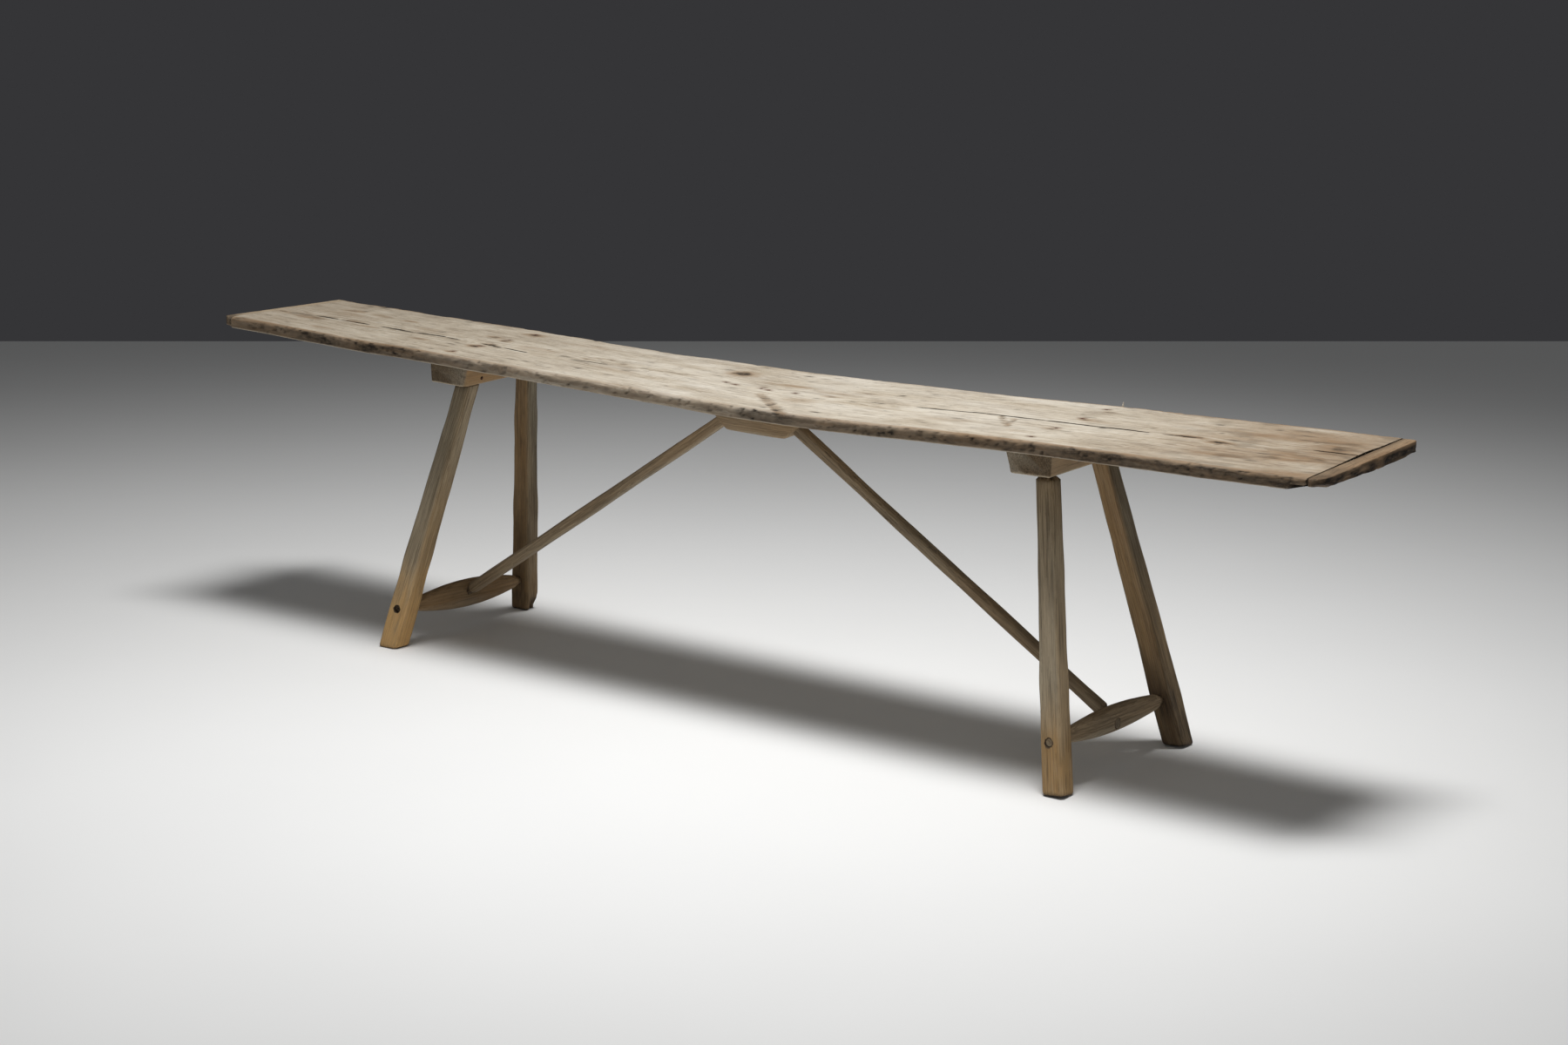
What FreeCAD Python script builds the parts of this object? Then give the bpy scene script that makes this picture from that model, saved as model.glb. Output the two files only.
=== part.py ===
import FreeCAD, Part
import os
import Sketcher

# A long plank table on four staked legs: a sagged plank with clamped ends, two battens that hold
# the legs, a stretcher between the legs of each end, and two braces up to a block at the middle.
# Millimetres, +Z up, +X along the plank, the origin on the floor under the middle of the plank.

SIDES = {"left": -1, "right": 1}
ROWS = {"front": -1, "back": 1}

# Driving sizes in millimetres, angles in degrees, and shares of other sizes
SIZES = {
    # The top: overall length and width with the clamps, and the height of its upper face at the ends
    "table_height": 752,
    "top_length": 3080,
    "top_width": 404,
    "plank_thickness": 28,
    "arris_radius": 5,
    # The sag: each half slopes down to a bow in the middle
    "sag_angle": 1.15,
    "sag_half_span": 300,
    # The clamped ends, which are out of square, and their worn corners
    "left_end_skew": 15,
    "right_end_skew": 27,
    "clamp_left_width": 28,
    "clamp_right_width": 35,
    "clamp_right_gap": 4.5,
    "corner_front_left": 40,
    "corner_front_right": 25,
    "corner_back": 9,
    # The battens: a trapezoid under each half, steeper on the outside
    "batten_out": 818,
    "batten_length": 336,
    "batten_height": 52,
    "batten_top_width": 117,
    "batten_inner_slope": 9,
    "batten_outer_slope": 4,
    "batten_arris": 8,
    # The legs: where each foot and each top stands, and the tapered square section with cut arrises
    "foot_out_front_left": 965,
    "foot_out_back_left": 947,
    "foot_out_front_right": 961,
    "foot_out_back_right": 985,
    "foot_spread_front_left": 228,
    "foot_spread_back_left": 239,
    "foot_spread_front_right": 251,
    "foot_spread_back_right": 212,
    "leg_top_spread_front_left": 98,
    "leg_top_spread_back_left": 114,
    "leg_top_spread_front_right": 86,
    "leg_top_spread_back_right": 132,
    "foot_width": 52,
    "leg_top_width": 43,
    "leg_chamfer": 4.5,
    "leg_shoulder_bevel": 4,
    "leg_shoulder_drop": 5,
    "leg_tenon_diameter": 33,
    "leg_tenon_end_gap": 9,
    "sole_allowance": 14,
    # The stretchers: bellied rails with a round tenon through each leg, higher at one end
    "stretcher_height_front_left": 97,
    "stretcher_height_back_left": 82,
    "stretcher_height_front_right": 110,
    "stretcher_height_back_right": 108,
    "stretcher_left_belly": 68,
    "stretcher_right_belly": 58,
    "stretcher_end_height": 26,
    "stretcher_thickness": 30,
    "stretcher_end_thickness": 24,
    "stretcher_chamfer_share": 0.26,
    "stretcher_neck": 6,
    "stretcher_tenon_diameter": 18,
    "stretcher_tenon_recess": 1.5,
    # The centre block under the bow of the plank
    "block_offset": -9,
    "block_bottom_length": 166,
    "block_depth": 76,
    "block_end_angle": 40,
    "block_width": 56,
    "block_arris": 6,
    # The braces: a chamfered bar with a round tenon at each end
    "brace_width": 27,
    "brace_chamfer_share": 0.18,
    "brace_rise_on_block": 17,
    "brace_foot_gap": 30,
    "brace_foot_taper": 7,
    "brace_into_block": 14,
    "brace_tenon_diameter": 19,
    "brace_tenon_length": 34,
    # The nails, and where they are driven
    "nail_head_width": 9,
    "nail_head_cut_share": 0.29,
    "nail_head_thickness": 2,
    "nail_shank_width": 4.6,
    "nail_tip_width": 1.6,
    "nail_sink": 0.6,
    "batten_nail_length": 62,
    "block_nail_length": 66,
    "clamp_nail_length": 78,
    "lock_nail_length": 56,
    "batten_nail_outer_share": 0.9,
    "batten_nail_inner_share": 0.31,
    "lock_nail_depth_share": 0.75,
    "lock_nail_offset": 9,
    # Clearances, and how far a cutting tool runs past what it cuts
    "joint_clearance": 0.15,
    "seat_clearance": 0.2,
    "cut_overrun": 20,
}

# Places of the nails along the clamps and the block, as shares of the half width and half length
CLAMP_NAIL_SHARES = {"left": (-0.62, 0.05, 0.66), "right": (0.1, 0.45, 0.86)}
BLOCK_NAIL_SHARES = ((-0.56, -0.3), (-0.38, -0.5), (0.04, -0.35), (0.18, -0.55), (0.61, -0.45))

# Sections of a stretcher along its half length, from one end to the other
STRETCHER_STATION_SHARES = (-1, -0.5, 0, 0.5, 1)

doc = FreeCAD.newDocument("trestle_table")
sheet = doc.addObject("Spreadsheet::Sheet", "Sizes")
rows = iter(range(1, 1000))


def add_cell(alias, content):
    row = next(rows)
    sheet.set(f"A{row}", alias)
    sheet.set(f"B{row}", content)
    sheet.setAlias(f"B{row}", alias)


def add_places():
    """Work out the places where pieces meet, as formulas on the driving sizes."""
    add_cell("half_length", "=top_length / 2")
    add_cell("half_width", "=top_width / 2")
    add_cell("slope", "=tan(sag_angle)")
    add_cell("cut_depth", "=plank_thickness / cos(sag_angle)")
    add_cell("under_vertex", "=table_height - cut_depth - half_length * slope")
    add_cell("bow_radius", "=sag_half_span / sin(sag_angle)")
    add_cell("bow_edge", "=under_vertex + sag_half_span * slope")
    add_cell("bow_centre", "=bow_edge + bow_radius * cos(sag_angle)")
    add_cell("top_bow_radius", "=bow_radius - plank_thickness")
    add_cell("top_bow_span", "=top_bow_radius * sin(sag_angle)")
    add_cell("top_bow_edge", "=bow_centre - top_bow_radius * cos(sag_angle)")
    add_cell("batten_seat", "=under_vertex + batten_out * slope")
    add_cell("batten_low", "=batten_seat - batten_height * cos(sag_angle)")
    add_cell("block_half", "=block_bottom_length / 2")
    add_cell("block_seat", "=bow_centre - bow_radius - seat_clearance")
    add_cell("block_low", "=block_seat - block_depth")
    add_cell("block_flare", "=block_depth / tan(block_end_angle)")
    add_cell("brace_top_out", "=block_half + brace_rise_on_block / tan(block_end_angle)")
    add_cell("brace_top_height", "=block_low + brace_rise_on_block")
    for side, sign in SIDES.items():
        for row, turn in ROWS.items():
            add_leg_places(f"{row}_{side}", sign, turn)
        add_stretcher_places(side)
        add_brace_places(side, sign)


def add_leg_places(leg, sign, turn):
    """The foot's place, the leg's direction and length, and where the stretcher crosses its axis."""
    add_cell(f"{leg}_foot_x", f"={sign} * foot_out_{leg}")
    add_cell(f"{leg}_foot_y", f"={turn} * foot_spread_{leg}")
    add_cell(f"{leg}_run", f"={sign} * batten_out - {leg}_foot_x")
    add_cell(f"{leg}_close", f"={turn} * leg_top_spread_{leg} - {leg}_foot_y")
    add_cell(f"{leg}_length", f"=sqrt({leg}_run ^ 2 + {leg}_close ^ 2 + batten_low ^ 2)")
    add_cell(f"{leg}_pitch", f"=atan2({leg}_run; batten_low)")
    add_cell(f"{leg}_roll", f"=-asin({leg}_close / {leg}_length)")
    add_cell(f"{leg}_rail_share", f"=stretcher_height_{leg} / batten_low")
    add_cell(f"{leg}_rail_x", f"={leg}_foot_x + {leg}_run * {leg}_rail_share")
    add_cell(f"{leg}_rail_y", f"={leg}_foot_y + {leg}_close * {leg}_rail_share")


def add_stretcher_places(side):
    """The stretcher runs between the axes of the two legs of its side."""
    front, back = f"front_{side}_rail", f"back_{side}_rail"
    front_z, back_z = f"stretcher_height_front_{side}", f"stretcher_height_back_{side}"
    add_cell(f"{side}_rail_x", f"=({front}_x + {back}_x) / 2")
    add_cell(f"{side}_rail_y", f"=({front}_y + {back}_y) / 2")
    add_cell(f"{side}_rail_z", f"=({front_z} + {back_z}) / 2")
    add_cell(f"{side}_rail_yaw", f"=atan2({back}_y - {front}_y; {back}_x - {front}_x)")
    add_cell(f"{side}_rail_plan", f"=sqrt(({back}_x - {front}_x) ^ 2 + ({back}_y - {front}_y) ^ 2)")
    add_cell(f"{side}_rail_climb", f"=atan2({back_z} - {front_z}; {side}_rail_plan)")
    add_cell(f"{side}_rail_span", f"={side}_rail_plan / cos({side}_rail_climb)")
    add_cell(f"{side}_leg_width", f"=foot_width + (leg_top_width - foot_width) * {side}_rail_z / batten_low")
    add_cell(f"{side}_rail_half", f"={side}_rail_span / 2 - {side}_leg_width / 2 - stretcher_neck")


def add_brace_places(side, sign):
    """The brace runs from the middle of the stretcher up to the sloped end of the block."""
    add_cell(f"{side}_brace_run", f"=block_offset + {sign} * brace_top_out - {side}_rail_x")
    add_cell(f"{side}_brace_rise", f"=brace_top_height - {side}_rail_z")
    add_cell(f"{side}_brace_plan", f"=sqrt({side}_brace_run ^ 2 + {side}_rail_y ^ 2)")
    add_cell(f"{side}_brace_yaw", f"=atan2(-{side}_rail_y; {side}_brace_run)")
    add_cell(f"{side}_brace_climb", f"=atan2({side}_brace_rise; {side}_brace_plan)")
    add_cell(f"{side}_brace_length", f"=sqrt({side}_brace_plan ^ 2 + {side}_brace_rise ^ 2)")


def bind(thing, **expressions):
    """Bind properties of a document object to expressions on the sheet."""
    for name, expression in expressions.items():
        thing.setExpression(name, str(expression))


def place(thing, x, y, z, yaw=0, pitch=0, roll=0):
    """Bind an object's place and turn to expressions on the sheet."""
    bind(thing, Placement=f"placement(vector({x}; {y}; {z}); rotation({yaw}; {pitch}; {roll}))")


def value(expression):
    found = sheet.evalExpression(str(expression))
    return float(getattr(found, "Value", found))


def new_sketch(body, name, plane, offset=0):
    """A sketch on one of its body's own planes, moved along that plane's normal."""
    sketch = body.newObject("Sketcher::SketchObject", name)
    origin_plane = next(each for each in body.Origin.OriginFeatures if each.Role == plane)
    sketch.AttachmentSupport = [(origin_plane, "")]
    sketch.MapMode = "FlatFace"
    sketch.setExpression("AttachmentOffset.Base.z", str(offset))
    return sketch


def draw_outline(sketch, corners, arcs=None):
    """Close an outline through corners given as expressions. A side in arcs has a radius, and
    bows outwards where its sign is 1 or inwards where it is -1, on an outline drawn anticlockwise."""
    arcs = arcs or {}
    points = [FreeCAD.Vector(value(x), value(y), 0) for x, y in corners]
    first = sketch.GeometryCount
    count = len(points)
    for number, start in enumerate(points):
        end = points[(number + 1) % count]
        if number in arcs:
            radius, sign = value(arcs[number][0]), arcs[number][1]
            chord = end - start
            rise = radius - (radius ** 2 - chord.Length ** 2 / 4) ** 0.5
            out = FreeCAD.Vector(chord.y, -chord.x, 0).normalize()
            middle = (start + end) / 2 + out * rise * sign
            sketch.addGeometry(Part.Arc(start, middle, end), False)
        else:
            sketch.addGeometry(Part.LineSegment(start, end), False)
    ends = [find_ends(sketch, first + number, point) for number, point in enumerate(points)]
    for number, (x, y) in enumerate(corners):
        side = first + number
        following = (number + 1) % count
        sketch.addConstraint(Sketcher.Constraint(
            "Coincident", side, ends[number][1], first + following, ends[following][0]))
        for kind, size in (("DistanceX", x), ("DistanceY", y)):
            index = sketch.addConstraint(Sketcher.Constraint(
                kind, -1, 1, side, ends[number][0], value(size)))
            sketch.setExpression(f"Constraints[{index}]", str(size))
        if number in arcs:
            index = sketch.addConstraint(Sketcher.Constraint("Radius", side, value(arcs[number][0])))
            sketch.setExpression(f"Constraints[{index}]", str(arcs[number][0]))


def find_ends(sketch, side, start):
    """Which end of a drawn side is its first corner, and which its last: an arc may be turned round."""
    near = (sketch.getPoint(side, 1) - start).Length
    far = (sketch.getPoint(side, 2) - start).Length
    return (1, 2) if near <= far else (2, 1)


def draw_circle(sketch, diameter):
    sketch.addGeometry(Part.Circle(FreeCAD.Vector(), FreeCAD.Vector(0, 0, 1), value(diameter) / 2), False)
    sketch.addConstraint(Sketcher.Constraint("Coincident", 0, 3, -1, 1))
    index = sketch.addConstraint(Sketcher.Constraint("Diameter", 0, value(diameter)))
    sketch.setExpression(f"Constraints[{index}]", str(diameter))


def chamfered_corners(width, height, cut):
    """The eight corners of a rectangle about the origin whose corners are cut off."""
    x, y = f"({width}) / 2", f"({height}) / 2"
    quarter = [(x, f"{y} - ({cut})"), (f"{x} - ({cut})", y)]
    corners = list(quarter)
    corners += [(f"-({a})", b) for a, b in reversed(quarter)]
    corners += [(f"-({a})", f"-({b})") for a, b in quarter]
    corners += [(a, f"-({b})") for a, b in reversed(quarter)]
    return corners


def new_body(name):
    return doc.addObject("PartDesign::Body", name)


def add_pad(body, sketch, length, symmetric=False):
    pad = body.newObject("PartDesign::Pad", f"{body.Name}_pad")
    pad.Profile = sketch
    pad.SideType = "Symmetric" if symmetric else "One side"
    bind(pad, Length=length)
    body.Tip = pad
    doc.recompute()
    return pad


def add_loft(body, sketches):
    loft = body.newObject("PartDesign::AdditiveLoft", f"{body.Name}_loft")
    loft.Profile = sketches[0]
    loft.Sections = sketches[1:]
    body.Tip = loft
    doc.recompute()
    return loft


def add_wedge(body, wide, narrow, length):
    """A square stick along Y about the origin, tapered evenly from its wide end to its narrow one."""
    wedge = body.newObject("PartDesign::AdditiveWedge", f"{body.Name}_wedge")
    bind(wedge, Ymin="0", Ymax=length)
    for axis in "XZ":
        bind(wedge, **{f"{axis}min": f"-({wide}) / 2", f"{axis}max": f"({wide}) / 2",
                       f"{axis}2min": f"-({narrow}) / 2", f"{axis}2max": f"({narrow}) / 2"})
    body.Tip = wedge
    doc.recompute()
    return wedge


def dress_edges(kind, body, base, chosen, **size):
    """Round or cut the edges of a feature that a test picks out."""
    dressed = body.newObject(f"PartDesign::{kind}", f"{body.Name}_{kind.lower()}")
    dressed.Base = (base, [f"Edge{n}" for n, edge in enumerate(base.Shape.Edges, 1) if chosen(edge)])
    bind(dressed, **size)
    body.Tip = dressed
    doc.recompute()
    return dressed


def round_edges(body, base, chosen, radius):
    return dress_edges("Fillet", body, base, chosen, Radius=radius)


def cut_edges(body, base, chosen, size):
    return dress_edges("Chamfer", body, base, chosen, Size=size)


def new_cylinder(name, diameter, height):
    cylinder = doc.addObject("Part::Cylinder", name)
    bind(cylinder, Radius=f"({diameter}) / 2", Height=height)
    return cylinder


def cut_by(base, tools, name):
    """Cut tools out of a shape one after another, and give the result the piece's own name."""
    for number, tool in enumerate(tools, 1):
        cut = doc.addObject("Part::Cut", f"{name}_cut_{number}")
        cut.Base = base
        cut.Tool = tool
        base = cut
    return base


# The forged nails: an eight-sided head on a square shank that tapers towards its tip, hanging down
# from the face that they are driven into

NAIL_KINDS = ("batten_nail", "block_nail", "clamp_nail", "lock_nail")


def make_nail(name, kind, clearance="0", opening="0"):
    """A nail, or the hole for one: larger all round by a clearance, and open above its head."""
    body = new_body(name)
    head = f"Sizes.nail_head_width + 2 * {clearance}"
    under_head = f"Sizes.nail_head_thickness + {clearance}"
    head_sketch = new_sketch(body, f"{name}_head", "XY_Plane", f"-({under_head})")
    draw_outline(head_sketch, chamfered_corners(head, head, f"({head}) * Sizes.nail_head_cut_share"))
    add_pad(body, head_sketch, f"{under_head} + {opening}")
    shank, tip = (f"Sizes.nail_{spot}_width + 2 * {clearance}" for spot in ("shank", "tip"))
    wedge = add_wedge(body, shank, tip, f"Sizes.{kind}_length + {clearance} - ({under_head})")
    place(wedge, 0, 0, f"-({under_head})", 0, 0, -90)
    return body


def link_group(source, name, places):
    """Copies of one object at several places, as one group of separate solids."""
    group = doc.addObject("Part::Compound", name)
    links = []
    for number, where in enumerate(places, 1):
        link = doc.addObject("App::Link", f"{name}_{number}")
        link.LinkedObject = source
        place(link, *where)
        links.append(link)
    group.Links = links
    return group


def top_face_height(x):
    """The height of the plank's upper face over the bow in its middle."""
    return f"Sizes.bow_centre - sqrt(Sizes.top_bow_radius ^ 2 - ({x}) ^ 2)"


def batten_nail_places(sign):
    sunk = "(Sizes.plank_thickness - Sizes.nail_sink)"
    x = f"{sign} * (Sizes.batten_out - {sunk} * sin(Sizes.sag_angle))"
    z = f"Sizes.batten_seat + {sunk} * cos(Sizes.sag_angle)"
    spots = [f"{turn} * Sizes.batten_length / 2 * Sizes.batten_nail_{spot}_share"
             for turn in ROWS.values() for spot in ("outer", "inner")]
    return [(x, y, z, 0, f"{-sign} * Sizes.sag_angle") for y in spots]


def block_nail_places():
    for along, across in BLOCK_NAIL_SHARES:
        x = f"Sizes.block_offset + {along} * (Sizes.block_half + Sizes.block_flare)"
        yield x, f"{across} * Sizes.block_width / 2", f"{top_face_height(x)} - Sizes.nail_sink"


def clamp_nail_places(side, sign):
    for share in CLAMP_NAIL_SHARES[side]:
        skew = f"Sizes.{side}_end_skew * (1 - {sign} * {share}) / 2"
        out = f"(Sizes.half_length - {skew} - Sizes.nail_sink)"
        z = f"Sizes.under_vertex + {out} * Sizes.slope + Sizes.cut_depth / 2"
        yield f"{sign} * {out}", f"{share} * Sizes.half_width", z, 0, f"{sign} * (90 - Sizes.sag_angle)"


def lock_nail_places(side, sign):
    """Through each tenon, a little outside its axis."""
    inset = "(Sizes.batten_inner_slope * Sizes.lock_nail_depth_share + Sizes.nail_sink)"
    x = f"{sign} * (Sizes.batten_out - Sizes.batten_top_width / 2 + {inset})"
    z = "Sizes.batten_seat - Sizes.batten_height * Sizes.lock_nail_depth_share"
    for row, turn in ROWS.items():
        y = f"{turn} * (Sizes.leg_top_spread_{row}_{side} + Sizes.lock_nail_offset)"
        yield x, y, z, 0, f"{-sign} * 90"


# The top: one sagged blank with worn arrises, divided into the plank and its two clamped ends


def make_top_blank():
    body = new_body("top_blank")
    end = "Sizes.half_length + Sizes.cut_overrun"
    end_low = f"Sizes.under_vertex + ({end}) * Sizes.slope"
    end_high = f"{end_low} + Sizes.cut_depth"
    low, high = ("Sizes.sag_half_span", "Sizes.bow_edge"), ("Sizes.top_bow_span", "Sizes.top_bow_edge")
    profile = new_sketch(body, "sag_profile", "XZ_Plane")
    draw_outline(profile, [
        (f"-({end})", end_low), (f"-{low[0]}", low[1]), low, (end, end_low),
        (end, end_high), high, (f"-{high[0]}", high[1]), (f"-({end})", end_high)],
        {1: ("Sizes.bow_radius", 1), 5: ("Sizes.top_bow_radius", -1)})
    slab = add_pad(body, profile, "Sizes.top_width", symmetric=True)
    long_enough = value("Sizes.top_width")
    rounded = round_edges(
        body, slab, lambda edge: edge.BoundBox.XLength > long_enough, "Sizes.arris_radius")

    plan = new_sketch(body, "top_plan", "XY_Plane")
    far_x = "(Sizes.half_length + 3 * Sizes.cut_overrun)"
    far_y = "(Sizes.half_width + 3 * Sizes.cut_overrun)"
    draw_outline(plan, [
        (f"-{far_x}", f"-{far_y}"), (far_x, f"-{far_y}"), (far_x, far_y), (f"-{far_x}", far_y)])
    draw_outline(plan, *top_outline())
    trim = body.newObject("PartDesign::Pocket", "top_trim")
    trim.Profile = plan
    trim.Type = "ThroughAll"
    trim.Reversed = True
    body.Tip = trim
    doc.recompute()
    if trim.Shape.Volume >= rounded.Shape.Volume:
        raise RuntimeError("the top's plan cuts nothing off the slab")
    return body


def top_outline():
    """The plan of the whole top, anticlockwise from its front left corner, with its worn corners."""
    length, width = "Sizes.half_length", "Sizes.half_width"
    left_back, right_front = f"-{length} + Sizes.left_end_skew", f"{length} - Sizes.right_end_skew"
    fl, fr, back = "Sizes.corner_front_left", "Sizes.corner_front_right", "Sizes.corner_back"
    corners = [
        (f"-{length}", f"-{width} + {fl}"), (f"-{length} + {fl}", f"-{width}"),
        (f"{right_front} - {fr}", f"-{width}"), (right_front, f"-{width} + {fr}"),
        (length, f"{width} - {back}"), (f"{length} - {back}", width),
        (f"{left_back} + {back}", width), (left_back, f"{width} - {back}")]
    return corners, {0: (fl, 1), 2: (fr, 1), 4: (back, 1), 6: (back, 1)}


def make_top_share(blank, name, front_low, front_high, back_low, back_high):
    """The stretch of the blank between two lines across it, each given at the front and the back."""
    body = new_body(f"{name}_plan_body")
    sketch = new_sketch(body, f"{name}_plan", "XY_Plane")
    width = "(Sizes.half_width + 2 * Sizes.cut_overrun)"
    draw_outline(sketch, [
        (front_low, f"-{width}"), (front_high, f"-{width}"), (back_high, width), (back_low, width)])
    add_pad(body, sketch, "Sizes.table_height + 2 * Sizes.cut_overrun")
    share = doc.addObject("Part::Common", f"{name}_share")
    share.Base = blank
    share.Tool = body
    return share


# The pieces under the top


def make_batten_blank(side, sign):
    body = new_body(f"batten_{side}_blank")
    half, low = "Sizes.batten_top_width / 2", "-Sizes.batten_height"
    sketch = new_sketch(body, f"batten_{side}_section", "XZ_Plane")
    draw_outline(sketch, [
        (f"{-sign} * {half}", "0"), (f"{sign} * {half}", "0"),
        (f"{sign} * ({half} - Sizes.batten_outer_slope)", low),
        (f"{-sign} * ({half} - Sizes.batten_inner_slope)", low)])
    pad = add_pad(body, sketch, "Sizes.batten_length", symmetric=True)
    bottom = -value("Sizes.batten_height") / 2
    long_enough = value("Sizes.batten_length") / 2
    round_edges(body, pad, lambda edge: edge.BoundBox.ZMax < bottom and edge.BoundBox.YLength > long_enough,
                "Sizes.batten_arris")
    place(body, f"{sign} * Sizes.batten_out", 0, "Sizes.batten_seat", 0, f"{-sign} * Sizes.sag_angle")
    return body


def make_leg_blank(leg):
    """A square stick, tapered from the foot to a bevelled shoulder, with a round tenon on top."""
    body = new_body(f"leg_{leg}_blank")
    shoulder = f"Sizes.{leg}_length - Sizes.leg_shoulder_drop"
    stick = add_wedge(body, "Sizes.foot_width", "Sizes.leg_top_width", f"{shoulder} + Sizes.sole_allowance")
    place(stick, 0, 0, "-Sizes.sole_allowance", 0, 0, 90)
    long_enough = value(shoulder) / 2
    stick = cut_edges(body, stick, lambda edge: edge.Length > long_enough, "Sizes.leg_chamfer")
    high = value(shoulder) - value("Sizes.leg_chamfer")
    cut_edges(body, stick, lambda edge: edge.BoundBox.ZMin > high, "Sizes.leg_shoulder_bevel")
    tenon = new_sketch(body, f"leg_{leg}_tenon", "XY_Plane", shoulder)
    draw_circle(tenon, "Sizes.leg_tenon_diameter")
    add_pad(body, tenon, "Sizes.batten_height - Sizes.leg_tenon_end_gap + Sizes.leg_shoulder_drop")
    place(body, f"Sizes.{leg}_foot_x", f"Sizes.{leg}_foot_y", 0,
          0, f"Sizes.{leg}_pitch", f"Sizes.{leg}_roll")
    return body


def make_leg_mortise(leg):
    """The hole in the batten round a leg's tenon, bored right through."""
    bore = new_cylinder(f"mortise_{leg}", "Sizes.leg_tenon_diameter + 2 * Sizes.joint_clearance",
                        f"Sizes.{leg}_length + Sizes.batten_height + 2 * Sizes.cut_overrun")
    place(bore, f"Sizes.{leg}_foot_x", f"Sizes.{leg}_foot_y", 0,
          0, f"Sizes.{leg}_pitch", f"Sizes.{leg}_roll")
    return bore


def make_floor():
    """What is sawn off below the floor to level the feet."""
    floor = doc.addObject("Part::Box", "below_floor")
    bind(floor, Length="Sizes.top_length", Width="4 * Sizes.top_width", Height="4 * Sizes.sole_allowance")
    place(floor, "-Sizes.half_length", "-2 * Sizes.top_width", "-4 * Sizes.sole_allowance")
    return floor


def make_stretcher_blank(side):
    body = new_body(f"stretcher_{side}_blank")
    sections = []
    for number, share in enumerate(STRETCHER_STATION_SHARES, 1):
        belly = 1 - share ** 2
        grow = f"(Sizes.stretcher_{side}_belly - Sizes.stretcher_end_height) * {belly}"
        high = f"Sizes.stretcher_end_height + {grow}"
        thick = ("Sizes.stretcher_end_thickness"
                 f" + (Sizes.stretcher_thickness - Sizes.stretcher_end_thickness) * {belly}")
        station = f"Sizes.{side}_rail_half * {share}"
        sketch = new_sketch(body, f"stretcher_{side}_{number}", "YZ_Plane", station)
        draw_outline(sketch, chamfered_corners(thick, high, f"({thick}) * Sizes.stretcher_chamfer_share"))
        sections.append(sketch)
    add_loft(body, sections)
    tenon = new_sketch(body, f"stretcher_{side}_tenon", "YZ_Plane")
    draw_circle(tenon, "Sizes.stretcher_tenon_diameter")
    through = f"Sizes.{side}_rail_span + Sizes.{side}_leg_width - 2 * Sizes.stretcher_tenon_recess"
    add_pad(body, tenon, through, symmetric=True)
    place(body, f"Sizes.{side}_rail_x", f"Sizes.{side}_rail_y", f"Sizes.{side}_rail_z",
          f"Sizes.{side}_rail_yaw", f"-Sizes.{side}_rail_climb")
    return body


def make_stretcher_mortise(side):
    """The hole through both legs of a side round the stretcher's tenons."""
    length = f"(Sizes.{side}_rail_span + 2 * Sizes.{side}_leg_width)"
    diameter = "Sizes.stretcher_tenon_diameter + 2 * Sizes.joint_clearance"
    bore = new_cylinder(f"rail_mortise_{side}", diameter, length)
    yaw, climb = f"Sizes.{side}_rail_yaw", f"Sizes.{side}_rail_climb"
    back = f"{length} / 2 * cos({climb})"
    place(bore, f"Sizes.{side}_rail_x - {back} * cos({yaw})", f"Sizes.{side}_rail_y - {back} * sin({yaw})",
          f"Sizes.{side}_rail_z - {length} / 2 * sin({climb})", yaw, f"90 deg - {climb}")
    return bore


def make_block_blank():
    body = new_body("centre_block_blank")
    sketch = new_sketch(body, "block_profile", "XZ_Plane")
    half, offset, low = "Sizes.block_half", "Sizes.block_offset", "Sizes.block_low"
    wide = f"({half} + Sizes.block_flare)"
    radius = "(Sizes.bow_radius + Sizes.seat_clearance)"
    seats = [f"Sizes.bow_centre - sqrt({radius} ^ 2 - ({offset} + {sign} * {wide}) ^ 2)"
             for sign in (1, -1)]
    draw_outline(sketch, [
        (f"{offset} - {half}", low), (f"{offset} + {half}", low),
        (f"{offset} + {wide}", seats[0]), (f"{offset} - {wide}", seats[1])],
        {2: (radius, -1)})
    pad = add_pad(body, sketch, "Sizes.block_width", symmetric=True)
    bottom = value("Sizes.block_low")
    round_edges(body, pad, lambda edge: edge.BoundBox.ZMax < bottom + value("Sizes.block_arris"),
                "Sizes.block_arris")
    return body


def make_brace_bar(side):
    body = new_body(f"brace_{side}_bar")
    width = "Sizes.brace_width"
    length = f"Sizes.{side}_brace_length + Sizes.brace_into_block - Sizes.brace_foot_gap"
    corners = chamfered_corners(width, width, f"{width} * Sizes.brace_chamfer_share")
    sketch = new_sketch(body, f"brace_{side}_section", "YZ_Plane", "Sizes.brace_foot_gap")
    draw_outline(sketch, corners)
    pad = add_pad(body, sketch, length)
    low = pad.Shape.BoundBox.XMin
    bevel = dress_edges(
        "Chamfer", body, pad, lambda edge: edge.BoundBox.XMax < low + value("Sizes.brace_foot_taper"),
        Size="Sizes.brace_width * Sizes.brace_chamfer_share / 2", Size2="Sizes.brace_foot_taper")
    bevel.ChamferType = "Two distances"
    doc.recompute()
    place_on_brace(body, side)
    return body


def place_on_brace(thing, side, start="0", upright=False):
    """Put something on the brace's axis, a length from the stretcher: along X, or along Z if upright."""
    yaw, climb = f"Sizes.{side}_brace_yaw", f"Sizes.{side}_brace_climb"
    flat = f"({start}) * cos({climb})"
    pitch = f"90 deg - {climb}" if upright else f"-{climb}"
    place(thing, f"Sizes.{side}_rail_x + {flat} * cos({yaw})", f"Sizes.{side}_rail_y + {flat} * sin({yaw})",
          f"Sizes.{side}_rail_z + ({start}) * sin({climb})", yaw, pitch)


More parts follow.
